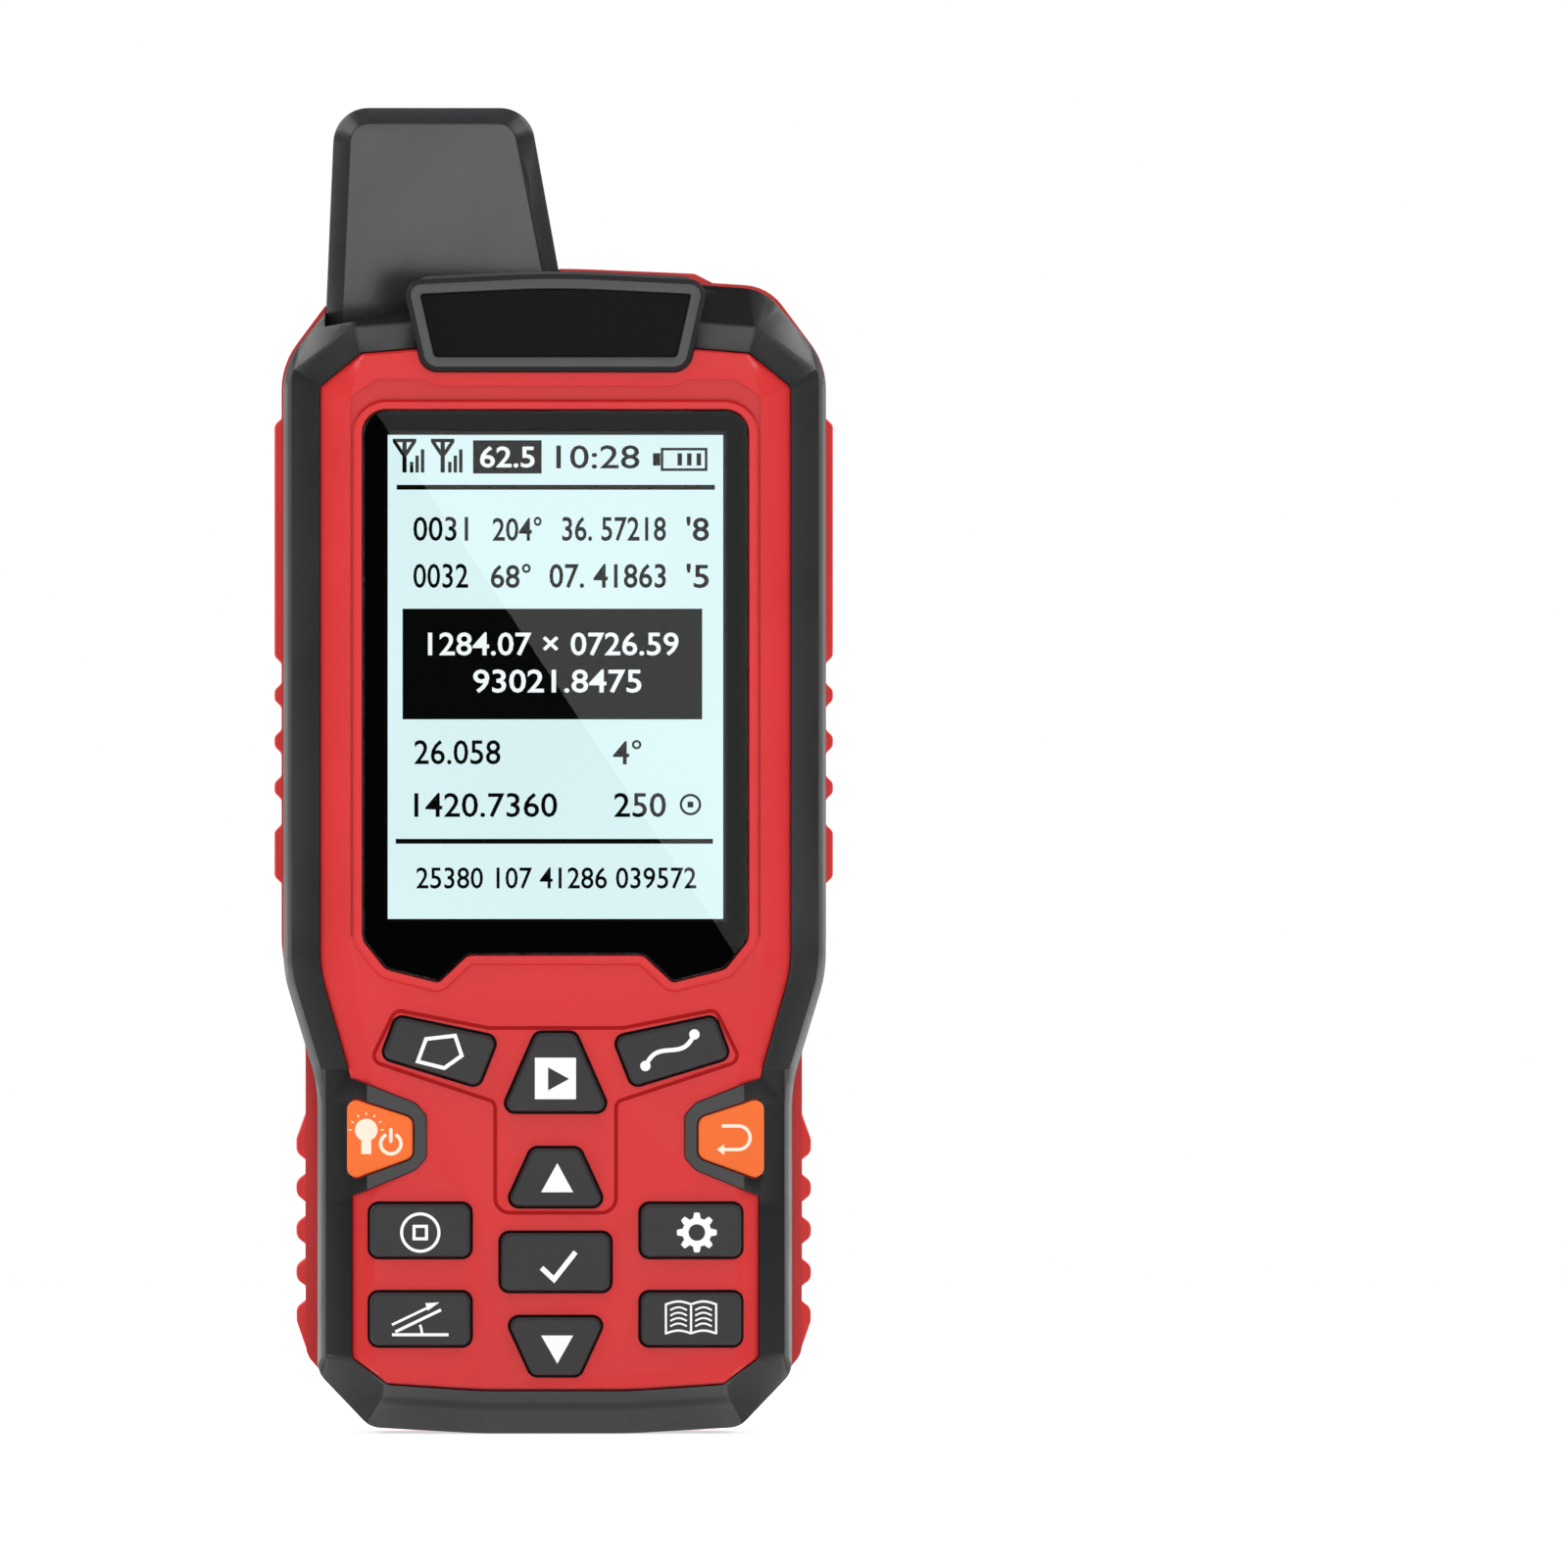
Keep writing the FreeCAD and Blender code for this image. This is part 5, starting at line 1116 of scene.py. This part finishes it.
LEGENDS = {
    "area": area_sign(),
    "path": path_sign(),
    "start": start_sign(),
    "up": patch([(-1.75, -1.8), (2.1, -1.8), (0.2, 1.7)]),
    "ok": line([(-1.7, -0.7), (-0.2, -2.1), (2.4, 1.2)], 0.62),
    "down": patch([(0.2, -2.1), (2.1, 1.3), (-1.75, 1.3)]),
    "price": price_sign(),
    "settings": [between(gear((0.7, -0.25), 1.75, 2.4, 8), circle_loop((0.7, -0.25), 1.0))],
    "slope": slope_sign(),
    "records": records_sign(),
}
for key, shapes in LEGENDS.items():
    node = key + "_key"
    shifted = [(flat + middle_of(node), faces) for flat, faces in shapes]
    marks(key + "_legend", shifted, KEY_FRONT, WHITE_PRINT, NODES[node]["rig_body"])


FACE_DEPTH = 1.2
FACE_LEAST = 2e-6


def slope_of(node):
    """Rate and start of the straight line that the node's front face follows over x.

    Of the large faces that look forwards, those within FACE_DEPTH of the foremost point
    are the face itself, and a least squares line goes through their corners.
    """
    mesh = NODES[node].data
    corners = rows_of(mesh.loops, "vertex_index", 1, np.int32).reshape(-1, 3)
    large = rows_of(mesh.polygons, "area", 1)[:, 0] > FACE_LEAST
    forwards = rows_of(mesh.polygons, "normal")[:, 1] < -0.95
    points = rows_of(mesh.vertices, "co")[corners[large & forwards].ravel()] / MM
    near = points[-points[:, 1] > front_of(node) - FACE_DEPTH]
    return np.polyfit(np.abs(near[:, 0]), -near[:, 1], 1)


THUMB_RATE, THUMB_START = slope_of("back_key")
print("an orange key falls by", round(-THUMB_RATE, 3), "per millimetre")


def thumb_face(flat):
    """The front value of an orange key's face, which falls steadily outwards."""
    return THUMB_START + np.abs(flat[:, 0]) * THUMB_RATE


def power_signs():
    """A bulb with rays and the usual ring and stroke of a power switch."""
    bulb = spot(373.8, 1153)
    switch = spot(398.8, 1167)
    shapes = disc(bulb, 1.36)
    shapes += bar(bulb[0] - 0.6, bulb[0] + 0.6, bulb[1] - 2.9, bulb[1] - 1.3)
    for turn in np.radians(np.arange(0, 181, 30)):
        way = np.array([math.cos(turn), math.sin(turn)])
        shapes += line([bulb + way * 1.75, bulb + way * 2.1], 0.14)
    shapes += line(arc(switch, 1.22, 125, 415, 30), 0.42, soft=True)
    return shapes + line([switch + (0, 0.3), switch + (0, 1.7)], 0.42, soft=True)


def back_sign():
    """An arrow that turns back on itself."""
    middle = spot(753.5, 1161)
    top = middle + (-2.0, 1.42)
    foot = middle + (-2.1, -1.42)
    bend = arc(middle, 1.42, 90, -90, 14)
    shapes = line(np.concatenate([[top], bend, [foot]]), 0.4)
    return shapes + patch([foot + (-0.5, 0), foot + (0.4, -0.65), foot + (0.4, 0.65)])


marks("power_legend", power_signs(), thumb_face, PALE_PRINT, "power_key")
marks("back_legend", back_sign(), thumb_face, PALE_PRINT, "back_key")

# %% [markdown]
# Hood plate
#
# The dark plate in the hood is polished plastic. A bevelled copy of its node would do,
# but a profile carried round the node's outline gives a cleaner highlight on so shiny
# a piece: a straight wall with a soft quarter round along the rim.

# %% Hood plate
GLOSS_BLACK = gloss("gloss_black", "0A0A0A", 0.08, 0.065)
PLATE_FRONT, PLATE_BACK = front_of("hood_plate"), back_of("hood_plate")
PLATE_EDGE = 0.12
outline = section("hood_plate", (PLATE_FRONT + PLATE_BACK) / 2)
mesh = stacked("hood_plate_gloss", outline, [(0, PLATE_BACK)] + rounded_edge(PLATE_FRONT, PLATE_EDGE, 3))
place_piece("hood_plate_gloss", mesh, GLOSS_BLACK, "case", ["hood_plate"])
print("the plate's outline has", len(outline), "corners")

# %% [markdown]
# What shows when the case is open
#
# The battery, its contacts and the screws come into view when the door slides off, and
# the boards show in an exploded view. Each gets its own finish. Metals are metallic
# shaders with a brushed roughness, and the boards are lacquer over a faint weave.

# %% Metals and boards
def metal(name, colour, rough):
    """Metal with a fine brushed roughness along X."""
    made = Finish(name).set(Base_Color=linear(colour), Metallic=1.0)
    stretch = made.node("Mapping", Vector=made.place, Scale=(0.08, 1, 1))
    brushed = made.node("TexNoise", Vector=stretch.outputs[0], Scale=1 / (0.15 * MM), Detail=3.0)
    made.feed("Roughness", made.spread(brushed.outputs["Fac"], rough - 0.08, rough + 0.08))
    return made.material


def board(name, colour):
    """Lacquered glass fibre board with a faint weave."""
    made = Finish(name).set(Roughness=0.35)
    weave = made.node("TexWave", Vector=made.place, Scale=1 / (1.2 * MM), Distortion=0.5)
    made.mottle("Base Color", weave.outputs["Fac"], colour, 0.1, 0, 1)
    return made.material


STEEL = metal("plain_steel", "B9BABC", 0.35)
GOLD = metal("contact_gold", "D8B25A", 0.3)
BOARD_GREEN = board("board_green", "1F5B37")
CERAMIC = moulded("patch_ceramic", "C9C1AE", 0.5)
WRAP = moulded("battery_wrap", "2A4E7C", 0.35, shine=0.5)
FOAM = moulded("foam_grey", "4B4B4C", 0.9, shine=0.1, grain=0.8, depth=0.05)
WHITE_PLASTIC = moulded("white_plastic", "E4E4E0", 0.5)
BLACK_PLASTIC = moulded("black_plastic", "1B1B1C", 0.45)
TAPE = moulded("black_tape", "101011", 0.8, shine=0.2)
CABLE = moulded("black_cable", "151516", 0.6)
MEMBRANE = moulded("key_membrane", "2B2B2C", 0.75, shine=0.2)

NODES_BY_FINISH = (
    (STEEL, ["board_spacers", "dome_switches", "gps_module", "processor_shield", "coin_cell",
             "usb_socket", "case_screws", "board_screws"]),
    (GOLD, ["antenna_plug", "module_plug", "battery_contacts"]),
    (BOARD_GREEN, ["main_board", "keypad_board", "antenna_board"]),
    (BLACK_PLASTIC, ["lcd_tray", "board_link", "board_chips", "buzzer"]),
    (WHITE_PLASTIC, ["lcd_backlight"]), (CERAMIC, ["patch_antenna"]), (FOAM, ["battery_pad"]),
    (BLACK_RUBBER, ["case_gasket"]), (TAPE, ["window_tape"]), (CABLE, ["antenna_cable"]),
    (MEMBRANE, ["keypad_membrane"]),
)
for material, names in NODES_BY_FINISH:
    for node in names:
        NODES[node].data.materials.clear()
        NODES[node].data.materials.append(material)
finished("battery_pack", WRAP, 0.6)

# %% [markdown]
# Nodes without a finish
#
# The last lines list the CAD nodes that are shown but have no material.

# %% Nodes without a finish
bare = [name for name, node in NODES.items() if not node.hide_render and not node.data.materials]
print("nodes without a finish:", bare)
